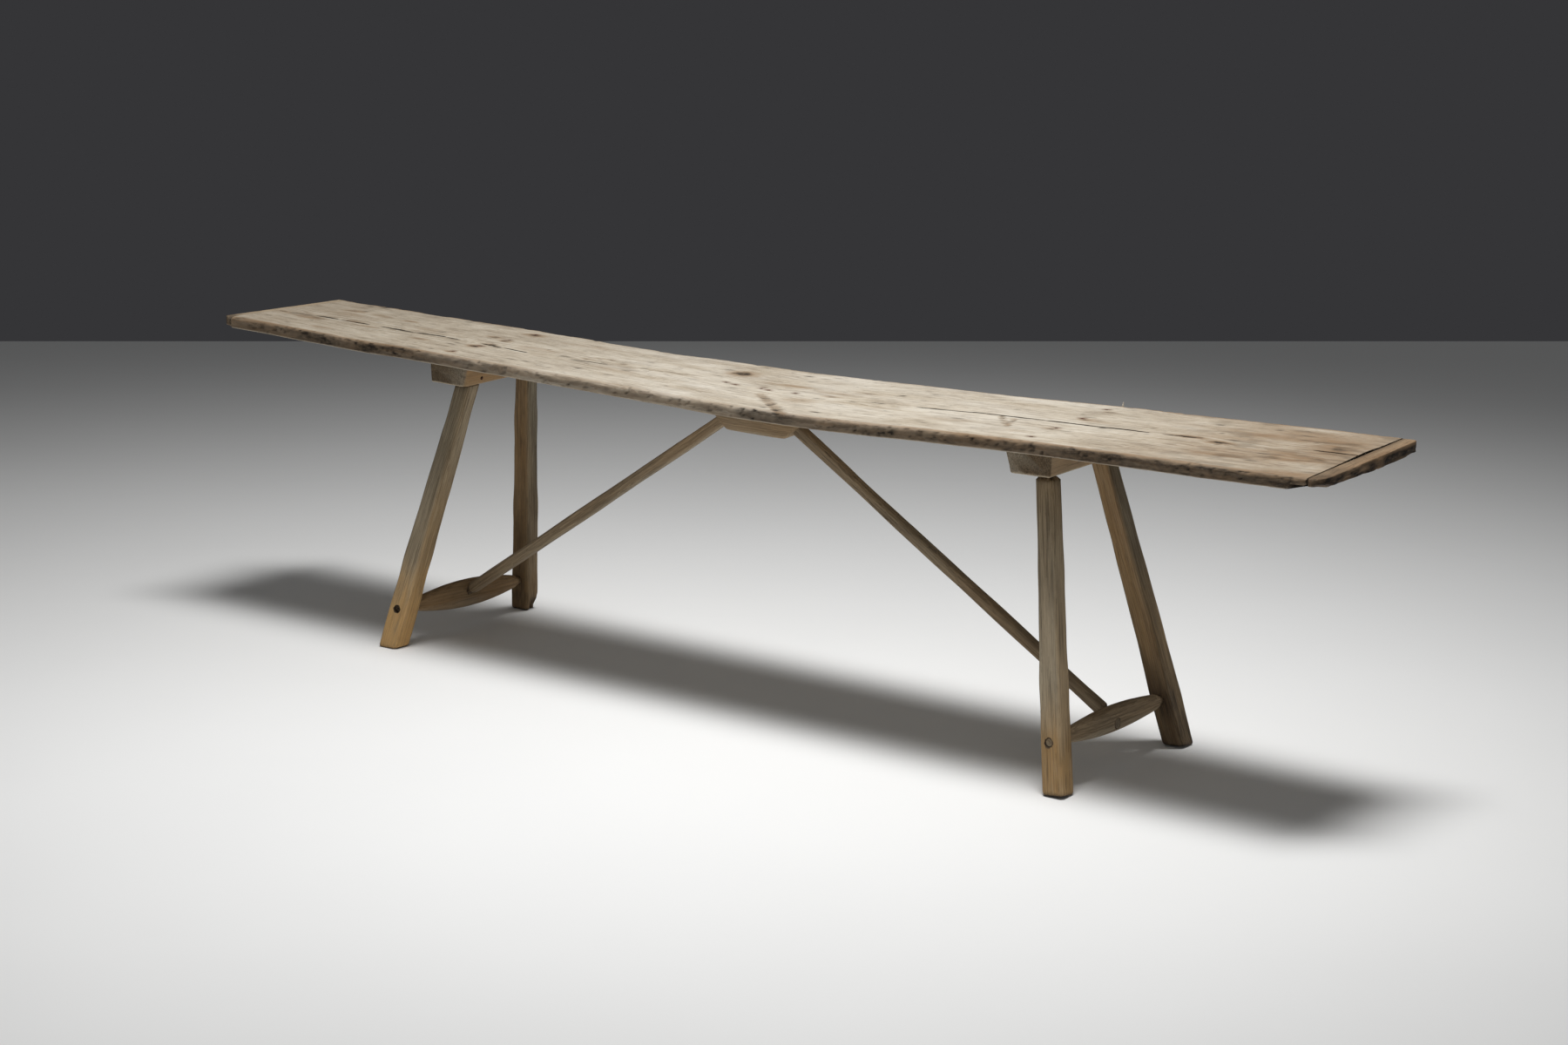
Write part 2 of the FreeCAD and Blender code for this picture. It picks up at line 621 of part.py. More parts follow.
def make_brace_tenons(side, clearance, name):
    """The round ends of a brace: through the stretcher at the foot, and into the block at the top."""
    diameter = f"Sizes.brace_tenon_diameter + 2 * {clearance}"
    foot = new_cylinder(f"brace_{side}_{name}_foot", diameter,
                        "2 * Sizes.stretcher_thickness + 2 * Sizes.brace_foot_gap")
    place_on_brace(foot, side, "-2 * Sizes.stretcher_thickness", upright=True)
    top = new_cylinder(f"brace_{side}_{name}_top", diameter,
                       f"2 * Sizes.brace_tenon_length + {clearance}")
    place_on_brace(top, side, f"Sizes.{side}_brace_length - Sizes.brace_tenon_length", upright=True)
    return foot, top


def make_outside(side, sign):
    """What is trimmed off outside the stretcher's outer face, where the brace's tenon comes through."""
    box = doc.addObject("Part::Box", f"outside_{side}")
    size = "4 * Sizes.stretcher_thickness"
    bind(box, Length=size, Width=size, Height=size)
    yaw = f"(Sizes.{side}_rail_yaw - 90 deg)"
    out = "Sizes.stretcher_thickness / 2" if sign > 0 else f"-Sizes.stretcher_thickness / 2 - {size}"
    along = f"-{size} / 2"
    place(box, f"Sizes.{side}_rail_x + ({out}) * cos({yaw}) - ({along}) * sin({yaw})",
          f"Sizes.{side}_rail_y + ({out}) * sin({yaw}) + ({along}) * cos({yaw})",
          f"Sizes.{side}_rail_z - {size} / 2", yaw)
    return box


def fuse(things, name):
    joined = doc.addObject("Part::MultiFuse", name)
    joined.Shapes = things
    return joined


def build():
    """Make every piece, and give back the finished pieces by the names of their nodes."""
    nodes = {}
    blank = make_top_blank()
    length = "Sizes.half_length"
    far = f"{length} + Sizes.cut_overrun"
    left_front = f"-{length} + Sizes.clamp_left_width"
    left_back = f"{left_front} + Sizes.left_end_skew"
    right_back = f"{length} - Sizes.clamp_right_width"
    right_front = f"{right_back} - Sizes.right_end_skew"
    plank = make_top_share(blank, "top_plank", left_front, right_front, left_back,
                           f"{right_back} - Sizes.clamp_right_gap")
    clamps = {
        "left": make_top_share(blank, "clamp_left", f"-({far})", left_front, f"-({far})", left_back),
        "right": make_top_share(blank, "clamp_right", right_front, far, right_back, far)}

    nails = {kind: make_nail(kind, kind) for kind in NAIL_KINDS}
    nail_holes = {kind: make_nail(f"{kind}_hole", kind, "Sizes.joint_clearance", "Sizes.cut_overrun")
                  for kind in NAIL_KINDS}
    plank_holes = []
    places = list(block_nail_places())
    nodes["block_nails"] = link_group(nails["block_nail"], "block_nails", places)
    block_holes = link_group(nail_holes["block_nail"], "block_nail_holes", places)
    plank_holes.append(block_holes)

    floor = make_floor()
    block = make_block_blank()
    block_tools = [block_holes]
    for side, sign in SIDES.items():
        places = list(clamp_nail_places(side, sign))
        nodes[f"clamp_nails_{side}"] = link_group(nails["clamp_nail"], f"clamp_nails_{side}", places)
        clamp_holes = link_group(nail_holes["clamp_nail"], f"clamp_nail_holes_{side}", places)
        nodes[f"end_clamp_{side}"] = cut_by(clamps[side], [clamp_holes], f"end_clamp_{side}")

        places = batten_nail_places(sign)
        nodes[f"batten_nails_{side}"] = link_group(nails["batten_nail"], f"batten_nails_{side}", places)
        batten_holes = link_group(nail_holes["batten_nail"], f"batten_nail_holes_{side}", places)
        plank_holes += [clamp_holes, batten_holes]

        places = list(lock_nail_places(side, sign))
        nodes[f"leg_lock_nails_{side}"] = link_group(nails["lock_nail"], f"leg_lock_nails_{side}", places)
        lock_holes = link_group(nail_holes["lock_nail"], f"lock_nail_holes_{side}", places)

        rail_mortise = make_stretcher_mortise(side)
        batten_tools = [batten_holes, lock_holes]
        for row in ROWS:
            leg = f"{row}_{side}"
            leg_tools = [floor, rail_mortise, lock_holes]
            nodes[f"leg_{leg}"] = cut_by(make_leg_blank(leg), leg_tools, f"leg_{leg}")
            batten_tools.append(make_leg_mortise(leg))
        nodes[f"batten_{side}"] = cut_by(make_batten_blank(side, sign), batten_tools, f"batten_{side}")

        foot, top = make_brace_tenons(side, 0, "tenon")
        foot_mortise, top_mortise = make_brace_tenons(side, "Sizes.joint_clearance", "mortise")
        nodes[f"stretcher_{side}"] = cut_by(make_stretcher_blank(side), [foot_mortise], f"stretcher_{side}")
        bar = cut_by(make_brace_bar(side), [block], f"brace_{side}_bar")
        flush_foot = cut_by(foot, [make_outside(side, sign)], f"brace_{side}_foot")
        nodes[f"brace_{side}"] = fuse([bar, flush_foot, top], f"brace_{side}_whole")
        block_tools.append(top_mortise)

    nodes["centre_block"] = cut_by(block, block_tools, "centre_block")
    nodes["top_plank"] = cut_by(plank, plank_holes, "top_plank")
    return nodes


for alias, size in SIZES.items():
    add_cell(alias, str(size))
add_places()
doc.recompute()
finished = build()
doc.recompute()
for each in doc.Objects:
    if "Invalid" in each.State or "Error" in each.State:
        raise RuntimeError(f"{each.Name} did not build: {each.State}")
for node, piece in finished.items():
    piece.Label = node
    if piece.Shape.isNull() or not piece.Shape.isValid():
        raise RuntimeError(f"{node} has no valid shape")
os.makedirs("parts", exist_ok=True)
for node, piece in sorted(finished.items()):
    piece.Shape.exportStep(f"parts/{node}.step")
    print(node, len(piece.Shape.Solids), "solids", round(piece.Shape.Volume / 1000), "cm3")
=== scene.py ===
# %% [markdown]
# # A long plank table on staked legs
#
# One wide plank, dried until it sagged and twisted, stands on four legs that are driven into two
# battens. Stretchers tie the legs of each end, and two braces run up to a block under the middle.
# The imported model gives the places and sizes. Each piece is built again here with the worn edges,
# shakes, knots and tool marks that a plain solid lacks, in the same place and frame.

# %% Load the frame
import itertools
import math

import bmesh
import bpy
import numpy as np
from mathutils import Matrix, Vector


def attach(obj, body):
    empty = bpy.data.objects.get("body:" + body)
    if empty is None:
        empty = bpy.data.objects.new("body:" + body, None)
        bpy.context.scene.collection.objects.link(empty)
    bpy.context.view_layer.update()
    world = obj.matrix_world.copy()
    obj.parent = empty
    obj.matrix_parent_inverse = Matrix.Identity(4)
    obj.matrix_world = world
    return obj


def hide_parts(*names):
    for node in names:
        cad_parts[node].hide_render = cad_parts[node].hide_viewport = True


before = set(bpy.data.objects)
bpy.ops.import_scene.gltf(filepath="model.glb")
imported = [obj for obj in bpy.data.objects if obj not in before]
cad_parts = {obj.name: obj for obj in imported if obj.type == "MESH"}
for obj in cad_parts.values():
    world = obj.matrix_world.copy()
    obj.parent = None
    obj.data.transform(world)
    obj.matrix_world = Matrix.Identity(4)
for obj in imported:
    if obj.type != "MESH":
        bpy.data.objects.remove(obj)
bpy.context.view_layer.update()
MM = 0.001
print("nodes in the frame:", len(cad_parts))

# %% [markdown]
# ## Camera
#
# The place and the lens were worked out from the corners of the plank and the four feet, so the
# table comes out in the same perspective as in the photograph. Nothing is shifted or blurred.

# %% The camera
EYE = Vector((4.6089, -6.1028, 2.2462))
GAZE = Vector((-0.5815, 0.7792, -0.2341))
LENS_MM = 78.46


def put_in_scene(name, data):
    """A new object for a mesh, a lamp or a camera."""
    thing = bpy.data.objects.new(name, data)
    bpy.context.collection.objects.link(thing)
    return thing


lens = bpy.data.cameras.new("camera")
lens.sensor_fit = "HORIZONTAL"
lens.sensor_width = 36
lens.lens = LENS_MM
camera = put_in_scene("camera", lens)
camera.location = EYE
camera.rotation_euler = GAZE.to_track_quat("-Z", "Y").to_euler()
bpy.context.scene.camera = camera
print("camera", round(EYE.length, 2), "m from the middle of the floor")

# %% [markdown]
# ## Colours and nodes
#
# Colours are written as sRGB hex values, as a colour picker shows them, and one function turns them
# into the linear values that the shaders work with. One more adds a node: its settings are named,
# and each input gets a number, a colour or another node's output. Sums and ranges have their own.


# %% Small helpers for materials
def linear(code):
    """An sRGB hex value such as 8A7B63 as linear red, green, blue and alpha."""
    parts = [int(code[i:i + 2], 16) / 255 for i in (0, 2, 4)]
    return [p / 12.92 if p <= 0.04045 else ((p + 0.055) / 1.055) ** 2.4 for p in parts] + [1]


def add(tree, kind, inputs=None, **settings):
    """Add a node with its settings, and fill or link its inputs by name or number."""
    made = tree.nodes.new("ShaderNode" + kind)
    for name, setting in settings.items():
        setattr(made, name, setting)
    for name, given in (inputs or {}).items():
        if isinstance(given, bpy.types.NodeSocket):
            tree.links.new(given, made.inputs[name])
        else:
            made.inputs[name].default_value = given
    return made


def combine(tree, operation, *values, kind="Math", **settings):
    """The output of a maths node, or a VectorMath node, on numbers and other outputs."""
    return add(tree, kind, dict(enumerate(values)), operation=operation, **settings).outputs[0]


def remap(tree, value, low, high, to_low=0.0, to_high=1.0):
    """The output of a node that turns one range of values into another and stops at its ends."""
    ends = {"From Min": low, "From Max": high, "To Min": to_low, "To Max": to_high}
    return add(tree, "MapRange", {"Value": value, **ends}).outputs[0]


def ramp(tree, value, *stops):
    """The colour of a ramp with stops of position and hex value. The first two are its ends."""
    made = add(tree, "ValToRGB", {"Fac": value})
    for i, (position, code) in enumerate(stops):
        stop = made.color_ramp.elements[i] if i < 2 else made.color_ramp.elements.new(position)
        stop.position, stop.color = position, linear(code)
    return made.outputs["Color"]


def new_material(name):
    """A material with an empty node tree, and that tree."""
    material = bpy.data.materials.new(name)
    material.use_nodes = True
    material.node_tree.nodes.clear()
    return material, material.node_tree


def surface(tree, inputs):
    """The shader and the output that end a material's tree."""
    shader = add(tree, "BsdfPrincipled", inputs)
    add(tree, "OutputMaterial", {"Surface": shader.outputs["BSDF"]})


# %% [markdown]
# ## Stage and light
#
# The table stood on a pale floor in a grey studio, under one long soft box that hung level with the
# wall: its shadow lies right below the plank, and the floor grows dark towards the wall. An area lamp
# does the same, and a weak one beside the camera opens the shade. The floor ends where the wall began,
# and rays that leave the scene see plain grey, so nothing stands in the way when the table is seen
# from behind. A weaker, paler world fills the shade.

# %% Floor, lamps and surroundings
WALL_AWAY = 4.47
FLOOR_REACH = 40.0

ahead = Vector((GAZE.x, GAZE.y, 0)).normalized()
across = Vector((ahead.y, -ahead.x, 0))
corners = [ahead * a + across * b for a in (-FLOOR_REACH, WALL_AWAY) for b in (-FLOOR_REACH, FLOOR_REACH)]
floor_mesh = bpy.data.meshes.new("floor")
floor_mesh.from_pydata(corners, [], [(0, 1, 3, 2)])
floor = put_in_scene("floor", floor_mesh)

# Painted screed, rolled on and swept: an even pale grey with faint cloudy differences of tone
paint, tree = new_material("painted_screed")
place = add(tree, "NewGeometry")
clouds = add(tree, "TexNoise", {"Vector": place.outputs["Position"], "Scale": 0.8, "Detail": 4})
tint = ramp(tree, clouds.outputs["Fac"], (0, "E3E3E2"), (1, "EBEBEA"))
surface(tree, {"Base Color": tint, "Roughness": 0.75})
floor_mesh.materials.append(paint)


def soft_lamp(name, place, aim, size, watts, beam):
    """A rectangular lamp, level with the wall and turned to face a point, with a grid that keeps its
    light within a beam."""
    light = bpy.data.lights.new(name, "AREA")
    light.shape = "RECTANGLE"
    light.size, light.size_y = size
    light.energy = watts
    light.spread = math.radians(beam)
    lamp = put_in_scene(name, light)
    lamp.location = place
    back = (Vector(place) - Vector(aim)).normalized()
    side = (across - across.dot(back) * back).normalized()
    lamp.rotation_euler = Matrix((side, back.cross(side), back)).transposed().to_euler()


# Place, aim and size in metres, watts, and beam in degrees
soft_lamp("lamp_above", (0.8, -0.1, 7.2), (0.2, -0.6, 0.0), (2.8, 1.5), 86, 68)
soft_lamp("lamp_front", (4.9, -4.6, 2.2), (0.0, 0.0, 0.3), (3.0, 2.0), 7, 120)

world = bpy.data.worlds.new("studio")
bpy.context.scene.world = world
world.use_nodes = True
world.node_tree.nodes.clear()
tree = world.node_tree
ray = add(tree, "LightPath")
seen = combine(tree, "MAXIMUM", ray.outputs["Is Camera Ray"], ray.outputs["Is Glossy Ray"])
seen = combine(tree, "MAXIMUM", seen, ray.outputs["Is Transmission Ray"])
fill = add(tree, "Background", {"Color": linear("D8D9DA"), "Strength": 0.17})
wall = add(tree, "Background", {"Color": linear("353537"), "Strength": 1.0})
both = add(tree, "MixShader", {0: seen, 1: fill.outputs[0], 2: wall.outputs[0]})
add(tree, "OutputWorld", {"Surface": both.outputs[0]})
bpy.context.scene.view_settings.view_transform = "Standard"
print("floor ends", WALL_AWAY, "m behind the table")

# %% [markdown]
# ## How a wooden piece is made
#
# Each piece is a skin over a stack of closed loops of points, as a boat's planking lies over its
# frames. It could be a box with a bevel, but a hand-made piece is nowhere straight, and points in
# loops are easy to push about with numbers. Two values are kept at every point for the materials:
# grain, the point's place in the wood measured along and across the fibres in millimetres, and
# marks, how much dark dirt and painted shade, brown stain, bleach and painted highlight, and rust or
# red there is.


# %% Lumps, soft steps and the skin
def stacked(*parts):
    """Coordinates from numbers and arrays that are first brought to one shape."""
    return np.stack(np.broadcast_arrays(*parts), -1)


def lumps(places, size, seed):
    """Smooth random bumps from -1 to 1, about as far apart as size: one number, or one along the
    first axis and one or two across it."""
    sizes = (*size, size[-1])[:3] if np.ndim(size) else (size,) * 3
    cells = np.asarray(places, float) / sizes
    low = np.floor(cells).astype(int)
    part = cells - low
    part = part * part * (3 - 2 * part)
    table = np.random.default_rng(seed).uniform(-1, 1, 4096)
    total = 0
    for corner in itertools.product((0, 1), repeat=3):
        at = low + np.array(corner)
        pick = (at[..., 0] * 73 + at[..., 1] * 179 + at[..., 2] * 283) % len(table)
        total = total + table[pick] * np.prod(np.where(corner, part, 1 - part), axis=-1)
    return total


def uneven(places, seed, *layers):
    """Lumps of several sizes added up: the weight, the length along and the length across of each."""
    return sum(weight * lumps(places, size, seed + i) for i, (weight, *size) in enumerate(layers))


def wave(along, size, seed):
    """The same bumps along one line."""
    return lumps(stacked(along, 0, 0), size, seed)


def soft_step(low, high, values):
    """0 up to low, 1 from high on, with an even slope between them."""
    share = np.clip((np.asarray(values, float) - low) / (high - low), 0, 1)
    return share * share * (3 - 2 * share)


def skin(name, *stacks):
    """One mesh of closed skins, each over loops of points in millimetres with their grain and marks."""
    mesh = bpy.data.meshes.new(name)
    points, faces, grains, values = [], [], [], []
    for loops, grain, marks in stacks:
        rows, count = loops.shape[:2]
        number = np.arange(rows * count).reshape(rows, count) + sum(map(len, points))
        turned = np.roll(number, -1, axis=1)
        quads = np.stack([number[:-1], turned[:-1], turned[1:], number[1:]], -1)
        faces += quads.reshape(-1, 4).tolist() + [number[0, ::-1].tolist(), number[-1].tolist()]
        points.append(loops.reshape(-1, 3) * MM)
        grains.append(grain.reshape(-1, 3))
        tints = np.broadcast_to(stacked(*marks), (rows, count, 4))
        values.append(np.clip(tints, 0, 1).reshape(-1, 4))
    mesh.from_pydata(np.concatenate(points).tolist(), [], faces)
    shell = bmesh.new()
    shell.from_mesh(mesh)
    bmesh.ops.recalc_face_normals(shell, faces=shell.faces)
    shell.to_mesh(mesh)
    shell.free()
    kept = mesh.attributes.new("grain", "FLOAT_VECTOR", "POINT").data
    kept.foreach_set("vector", np.concatenate(grains).ravel())
    kept = mesh.attributes.new("marks", "FLOAT_COLOR", "POINT").data
    kept.foreach_set("color", np.concatenate(values).ravel())
    mesh.polygons.foreach_set("use_smooth", [True] * len(faces))
    mesh.set_sharp_from_angle(angle=math.radians(50))
    return put_in_scene(name, mesh)


# %% [markdown]
# Battens, legs, rails and braces were split, sawn and drawn to shape along one line, so one function
# sweeps an outline along a line. The outline is given by its corners. In each direction from its
# middle, the sides' distances are joined with a high power, which rounds the corners as years of
# hands and feet do, and the distances can differ at every station.


# %% Sweep a softened outline along a line
def softened(angles, corners, inset=0, crisp=26):
    """How far an outline with worn corners reaches from its middle in each direction."""
    pull = 0
    for (x, y), (next_x, next_y) in zip(corners, corners[1:] + corners[:1]):
        run, rise = next_x - x, next_y - y
        length = np.sqrt(run ** 2 + rise ** 2)
        facing = np.arctan2(-run, rise)
        away = (x * rise - y * run) / length - inset
        pull = pull + np.maximum(0, np.cos(angles - facing) / away) ** crisp
    return pull ** (-1 / crisp)


def cut_rectangle(width, height, cut):
    """Eight corners of a rectangle whose own corners are cut off, anticlockwise."""
    x, y = width / 2, height / 2
    return [(x, cut - y), (x, y - cut), (x - cut, y), (cut - x, y),
            (-x, y - cut), (-x, cut - y), (cut - x, -y), (x - cut, -y)]


def around(count, wide=1, high=1):
    """Directions round an outline, closer together towards the ends of a long one."""
    turn = np.linspace(0, 2 * math.pi, count, endpoint=False)
    return np.arctan2(high * np.sin(turn), wide * np.cos(turn))


def sweep(middles, side, up, angles, reach):
    """Loops of points about a line of middles, and each point's place across the piece."""
    x, y = reach * np.cos(angles), reach * np.sin(angles)
    loops = middles[:, None] + x[..., None] * np.array(side) + y[..., None] * np.array(up)
    return loops, x, y


def in_wood(along, angles, reach):
    """Each point's place in the wood: along the piece, and both ways across it."""
    return stacked(along, reach * np.cos(angles), reach * np.sin(angles))


def stations(length, step, rounding):
    """A column of places along a piece from its middle, with close ones in its rounded ends, and how
    far these ends draw in there."""
    ease = np.array([0, 0.06, 0.25, 0.55, 1]) * rounding
    inner = length / 2 - rounding
    inside = np.linspace(-inner, inner, max(3, round(2 * inner / step)))
    places = np.concatenate([ease[:-1] - length / 2, inside, length / 2 - ease[:-1][::-1]])[:, None]
    depth = np.clip(np.abs(places) - inner, 0, rounding)
    return places, rounding - np.sqrt(rounding ** 2 - depth ** 2)


# %% [markdown]
# ## The plank
#
# The top is one flat-sawn softwood board. It has sagged into a shallow valley and twisted along its
# length as it dried. A shake follows the heart for much of its length. One row of points runs in the
# shake, so it is a real crack in the mesh, and the rows beside it are its lips.

# %% The shape that the plank has taken
TOP_HEIGHT, THICK, SAG = 752, 28, math.radians(1.15)
HALF_LENGTH, HALF_WIDTH, BOW_SPAN = 1540, 202, 300
SLOPE = math.tan(SAG)
BOW = BOW_SPAN / math.sin(SAG)
DEPTH = THICK / math.cos(SAG)
VALLEY = TOP_HEIGHT - DEPTH - HALF_LENGTH * SLOPE
BATTEN_OUT, BATTEN_HALF_TOP = 818, 58.5


def under(x):
    """Height of the plank's under face: two straight slopes and the bow that joins them."""
    x = np.abs(x)
    bow = BOW * math.cos(SAG) - np.sqrt(BOW ** 2 - np.minimum(x, BOW_SPAN) ** 2)
    return VALLEY + np.where(x < BOW_SPAN, BOW_SPAN * SLOPE + bow, x * SLOPE)


# How far the plank has risen or dropped from that plain shape in drying: x and height, along its
# front edge and its back edge
FRONT_TWIST = ((-1540, 1.5), (-1400, 1), (-1060, -2.5), (-950, 0), (-300, 0), (-100, -2), (0, -5),
               (400, -6), (560, -2.5), (760, 0), (1000, -0.5), (1250, -2.5), (1540, -2.5))
BACK_TWIST = ((-1540, -11.7), (-1340, -9.7), (-1080, -8), (-880, -6.6), (-420, -6.3), (-300, -2.5),
              (-150, 0), (0, 0), (200, 3.5), (490, 5), (830, 9), (1040, 9.5), (1250, 12), (1540, 13))


def between(x, knots):
    """The value at x on straight lines through knots of x and value."""
    return np.interp(x, *np.array(knots, float).T)


def across_top(y):
    """Share of the way from the plank's front edge to its back edge."""
    return (y + HALF_WIDTH) / (2 * HALF_WIDTH)


def warp(x, y):
    """How far the twist lifts the plank at a place."""
    share = across_top(y)
    return between(x, FRONT_TWIST) * (1 - share) + between(x, BACK_TWIST) * share


def front_edge(x):
    return -HALF_WIDTH - 1.6 * wave(x, 240, 3) - 1.1 * wave(x, 60, 4) - 0.5 * wave(x, 22, 5)


def back_edge(x):
    return HALF_WIDTH + 1.8 * wave(x, 260, 6) + 1.0 * wave(x, 75, 7)


# The heart line that the shakes follow, and the stretches where they have opened: from, to, width
HEART = ((-1540, -48), (-1461, -46), (-1367, -30), (-1216, -27), (-963, -26), (-770, -33), (-686, -41),
         (-300, -14), (420, -8), (600, 0), (740, 2), (874, -3), (1017, -2), (1120, 2), (1330, 4),
         (1405, 15), (1540, 17))
SHAKES = ((-1470, -1392, 1.8), (-1390, -1316, 3.8), (-1306, -1210, 3.4), (-1168, -1058, 4.2),
          (-1060, -952, 4.2), (-950, -905, 1.6), (-832, -764, 3.0), (-762, -680, 2.8), (-560, -440, 1.3),
          (300, 345, 1.4), (425, 520, 2.0), (512, 640, 2.6), (628, 762, 2.4), (755, 880, 3.0),
          (872, 1022, 2.2), (1050, 1116, 1.6), (1402, 1530, 2.0))


def heart_line(x):
    return between(x, HEART) + 1.6 * wave(x, 45, 8) + 0.6 * wave(x, 14, 9)


def shake_width(x):
    """Half the opening of the shakes at a place along the plank."""
    opened = np.zeros_like(x)
    for start, end, width in SHAKES:
        inside = np.clip((x - start) / (end - start), 0, 1) * np.clip((end - x) / (end - start), 0, 1) * 4
        ragged = np.sqrt(inside) * (1 + 0.35 * wave(x, 30, 10))
        opened = np.maximum(opened, width * ragged * (inside > 0))
    return opened


print("plank from", round(float(under(0)), 1), "to", TOP_HEIGHT, "mm high")

# %% [markdown]
# Knots stand a little proud with a torn dark ring, because they wear more slowly than the wood round
# them. Spike knots, one long and two that meet in a V, cross the board at an angle, and beetles have
# eaten them into pits. Every mark that can be told apart has a row with its place and size.

# %% Knots and spike knots on the upper face
# x, y, length, width, height of the mound, dark, brown
KNOTS = ((-128, 84, 64, 44, 1.2, 1.2, 0.9), (-827, -67, 34, 26, 0.6, 1.3, 0.9),
         (-815, 33, 30, 18, 0.5, 1.0, 0.8), (-866, 54, 40, 14, 0.3, 0.6, 0.8),
         (-812, 141, 46, 26, 0.5, 0.9, 0.9), (-806, -24, 30, 18, 0.3, 0.9, 0.6),
         (-1266, -25, 44, 18, 0.4, 0.8, 0.9), (-1487, -44, 44, 14, 0.2, 0.8, 0.6),
         (-1164, 76, 40, 12, 0.3, 0.4, 1.0), (-820, -161, 28, 11, 0.2, 0.4, 1.0),
         (-987, -85, 46, 16, 0.2, 0.3, 0.7), (-1262, -140, 50, 13, 0.2, 0.2, 0.8),
         (-522, -5, 30, 9, 0.2, 0.8, 0.5), (-509, 21, 26, 8, 0.2, 0.7, 0.5),
         (-473, 27, 34, 8, 0.2, 0.7, 0.5), (-420, 5, 28, 8, 0.2, 0.7, 0.5),
         (-4, 4, 18, 9, 0.2, 0.8, 0.4), (47, 45, 90, 16, 0.3, 0.1, 0.8),
         (154, -75, 60, 30, 0.2, 0.1, 0.5), (194, -6, 42, 12, 0.2, 0.5, 0.6),
         (252, 59, 60, 9, 0.2, 0.6, 0.4), (813, -67, 36, 14, 0.3, 0.7, 0.6),
         (829, 42, 28, 11, 0.2, 0.7, 0.5), (840, 129, 32, 12, 0.2, 0.7, 0.5),
         (1112, 3, 60, 18, 0.4, 0.9, 0.8), (1192, -15, 50, 24, 0.8, 1.2, 0.9))
# from x, y to x, y, width, depth of the pits
SPIKES = ((33, -62, 213, -215, 24, 3.2), (648, -8, 711, -80, 15, 2.4), (686, -16, 711, -80, 13, 2.1))


def from_oval(x, y, oval):
    """How far each point is from the middle of an oval mark, with 1 at its rim."""
    middle_x, middle_y, length, width = oval
    return np.hypot((x - middle_x) / length * 2, (y - middle_y) / width * 2)


def knotty(x, y):
    """Relief, dark and brown of the knots and the spike knots."""
    spot = stacked(x, y, 0)
    torn, ragged = 0.25 * lumps(spot, (9, 5), 14), 0.3 * lumps(spot, (14, 9), 15)
    holes = soft_step(0.05, 0.5, lumps(spot, (11, 8), 16))
    relief, dark, brown = np.zeros((3,) + x.shape)
    for *oval, mound, darkness, colour in KNOTS:
        away = from_oval(x, y, oval) + torn
        relief += mound * soft_step(2.2, 0.6, away) - 2.4 * darkness * soft_step(0.75, 0.2, away)
        dark += darkness * soft_step(0.95, 0.35, away)
        brown += colour * soft_step(2.1, 0.5, away)
    for from_x, from_y, to_x, to_y, width, pits in SPIKES:
        run, rise = to_x - from_x, to_y - from_y
        share = np.clip(((x - from_x) * run + (y - from_y) * rise) / (run ** 2 + rise ** 2), 0, 1)
        away = np.hypot(x - from_x - share * run, y - from_y - share * rise) / width * 2
        eaten = soft_step(1.15, 0.7, away + ragged)
        relief -= pits * eaten * (0.25 + holes)
        dark += eaten * (0.05 + 0.24 * pits * holes)
        brown += 0.17 * pits * eaten
    return relief, dark, brown


print("knots:", len(KNOTS), "spike knots:", len(SPIKES))

# %% [markdown]
# Water, iron and work have left stains, rust round the nails and a line that was scribed across the
# board. The smallest checks and bruises are strewn with a fixed seed, because nobody can tell them
# apart. The face as a whole is palest right of the middle, and brown towards the right end.

# %% Stains, a scribed line, specks and rust on the upper face
# x, y, length, width, brown, dark
STAINS = ((-1398, -58, 120, 34, 0.8, 0.35), (-1357, 88, 70, 34, 0.7, 0.4),
          (-1264, 82, 100, 30, 0.65, 0.15), (-1186, -47, 90, 32, 0.65, 0.1),
          (-1330, 40, 190, 60, 0.3, 0.05), (-1030, 30, 150, 40, 0.35, 0.05),
          (-640, 120, 160, 36, 0.4, 0.1), (-690, 10, 120, 30, 0.45, 0.1), (-400, -60, 160, 40, 0.3, 0.0),
          (180, 30, 130, 30, 0.4, 0.0), (560, -90, 150, 40, 0.3, 0.0), (1290, 90, 220, 60, 0.55, 0.15),
          (1400, -60, 170, 70, 0.6, 0.2), (1440, 60, 130, 60, 0.7, 0.35),
          (1230, -110, 160, 40, 0.45, 0.1), (760, -120, 120, 26, 0.35, 0.05),
          (860, 40, 90, 30, 0.35, 0.05))
SCRIBED_X, SCRIBED_FROM, SCRIBED_TO = -210, -175, -22
# Small checks and bruises strewn over the face: x, y, length, width, dark
strew = np.random.default_rng(71)
SPECKS = np.stack([strew.uniform(-1480, 1470, 90), strew.uniform(-180, 185, 90), strew.uniform(12, 46, 90),
                   strew.uniform(7, 13, 90), strew.uniform(0.25, 0.8, 90)], -1)
# Nails through the plank, into the battens and into the block under the middle
BATTEN_NAILS = {side: [(sign * 817.5, y) for y in (-151, -52, 52, 151)]
                for side, sign in (("left", -1), ("right", 1))}
BLOCK_NAILS = [(-106, -8), (-75, -14), (-2, -10), (22, -15), (97, -13)]


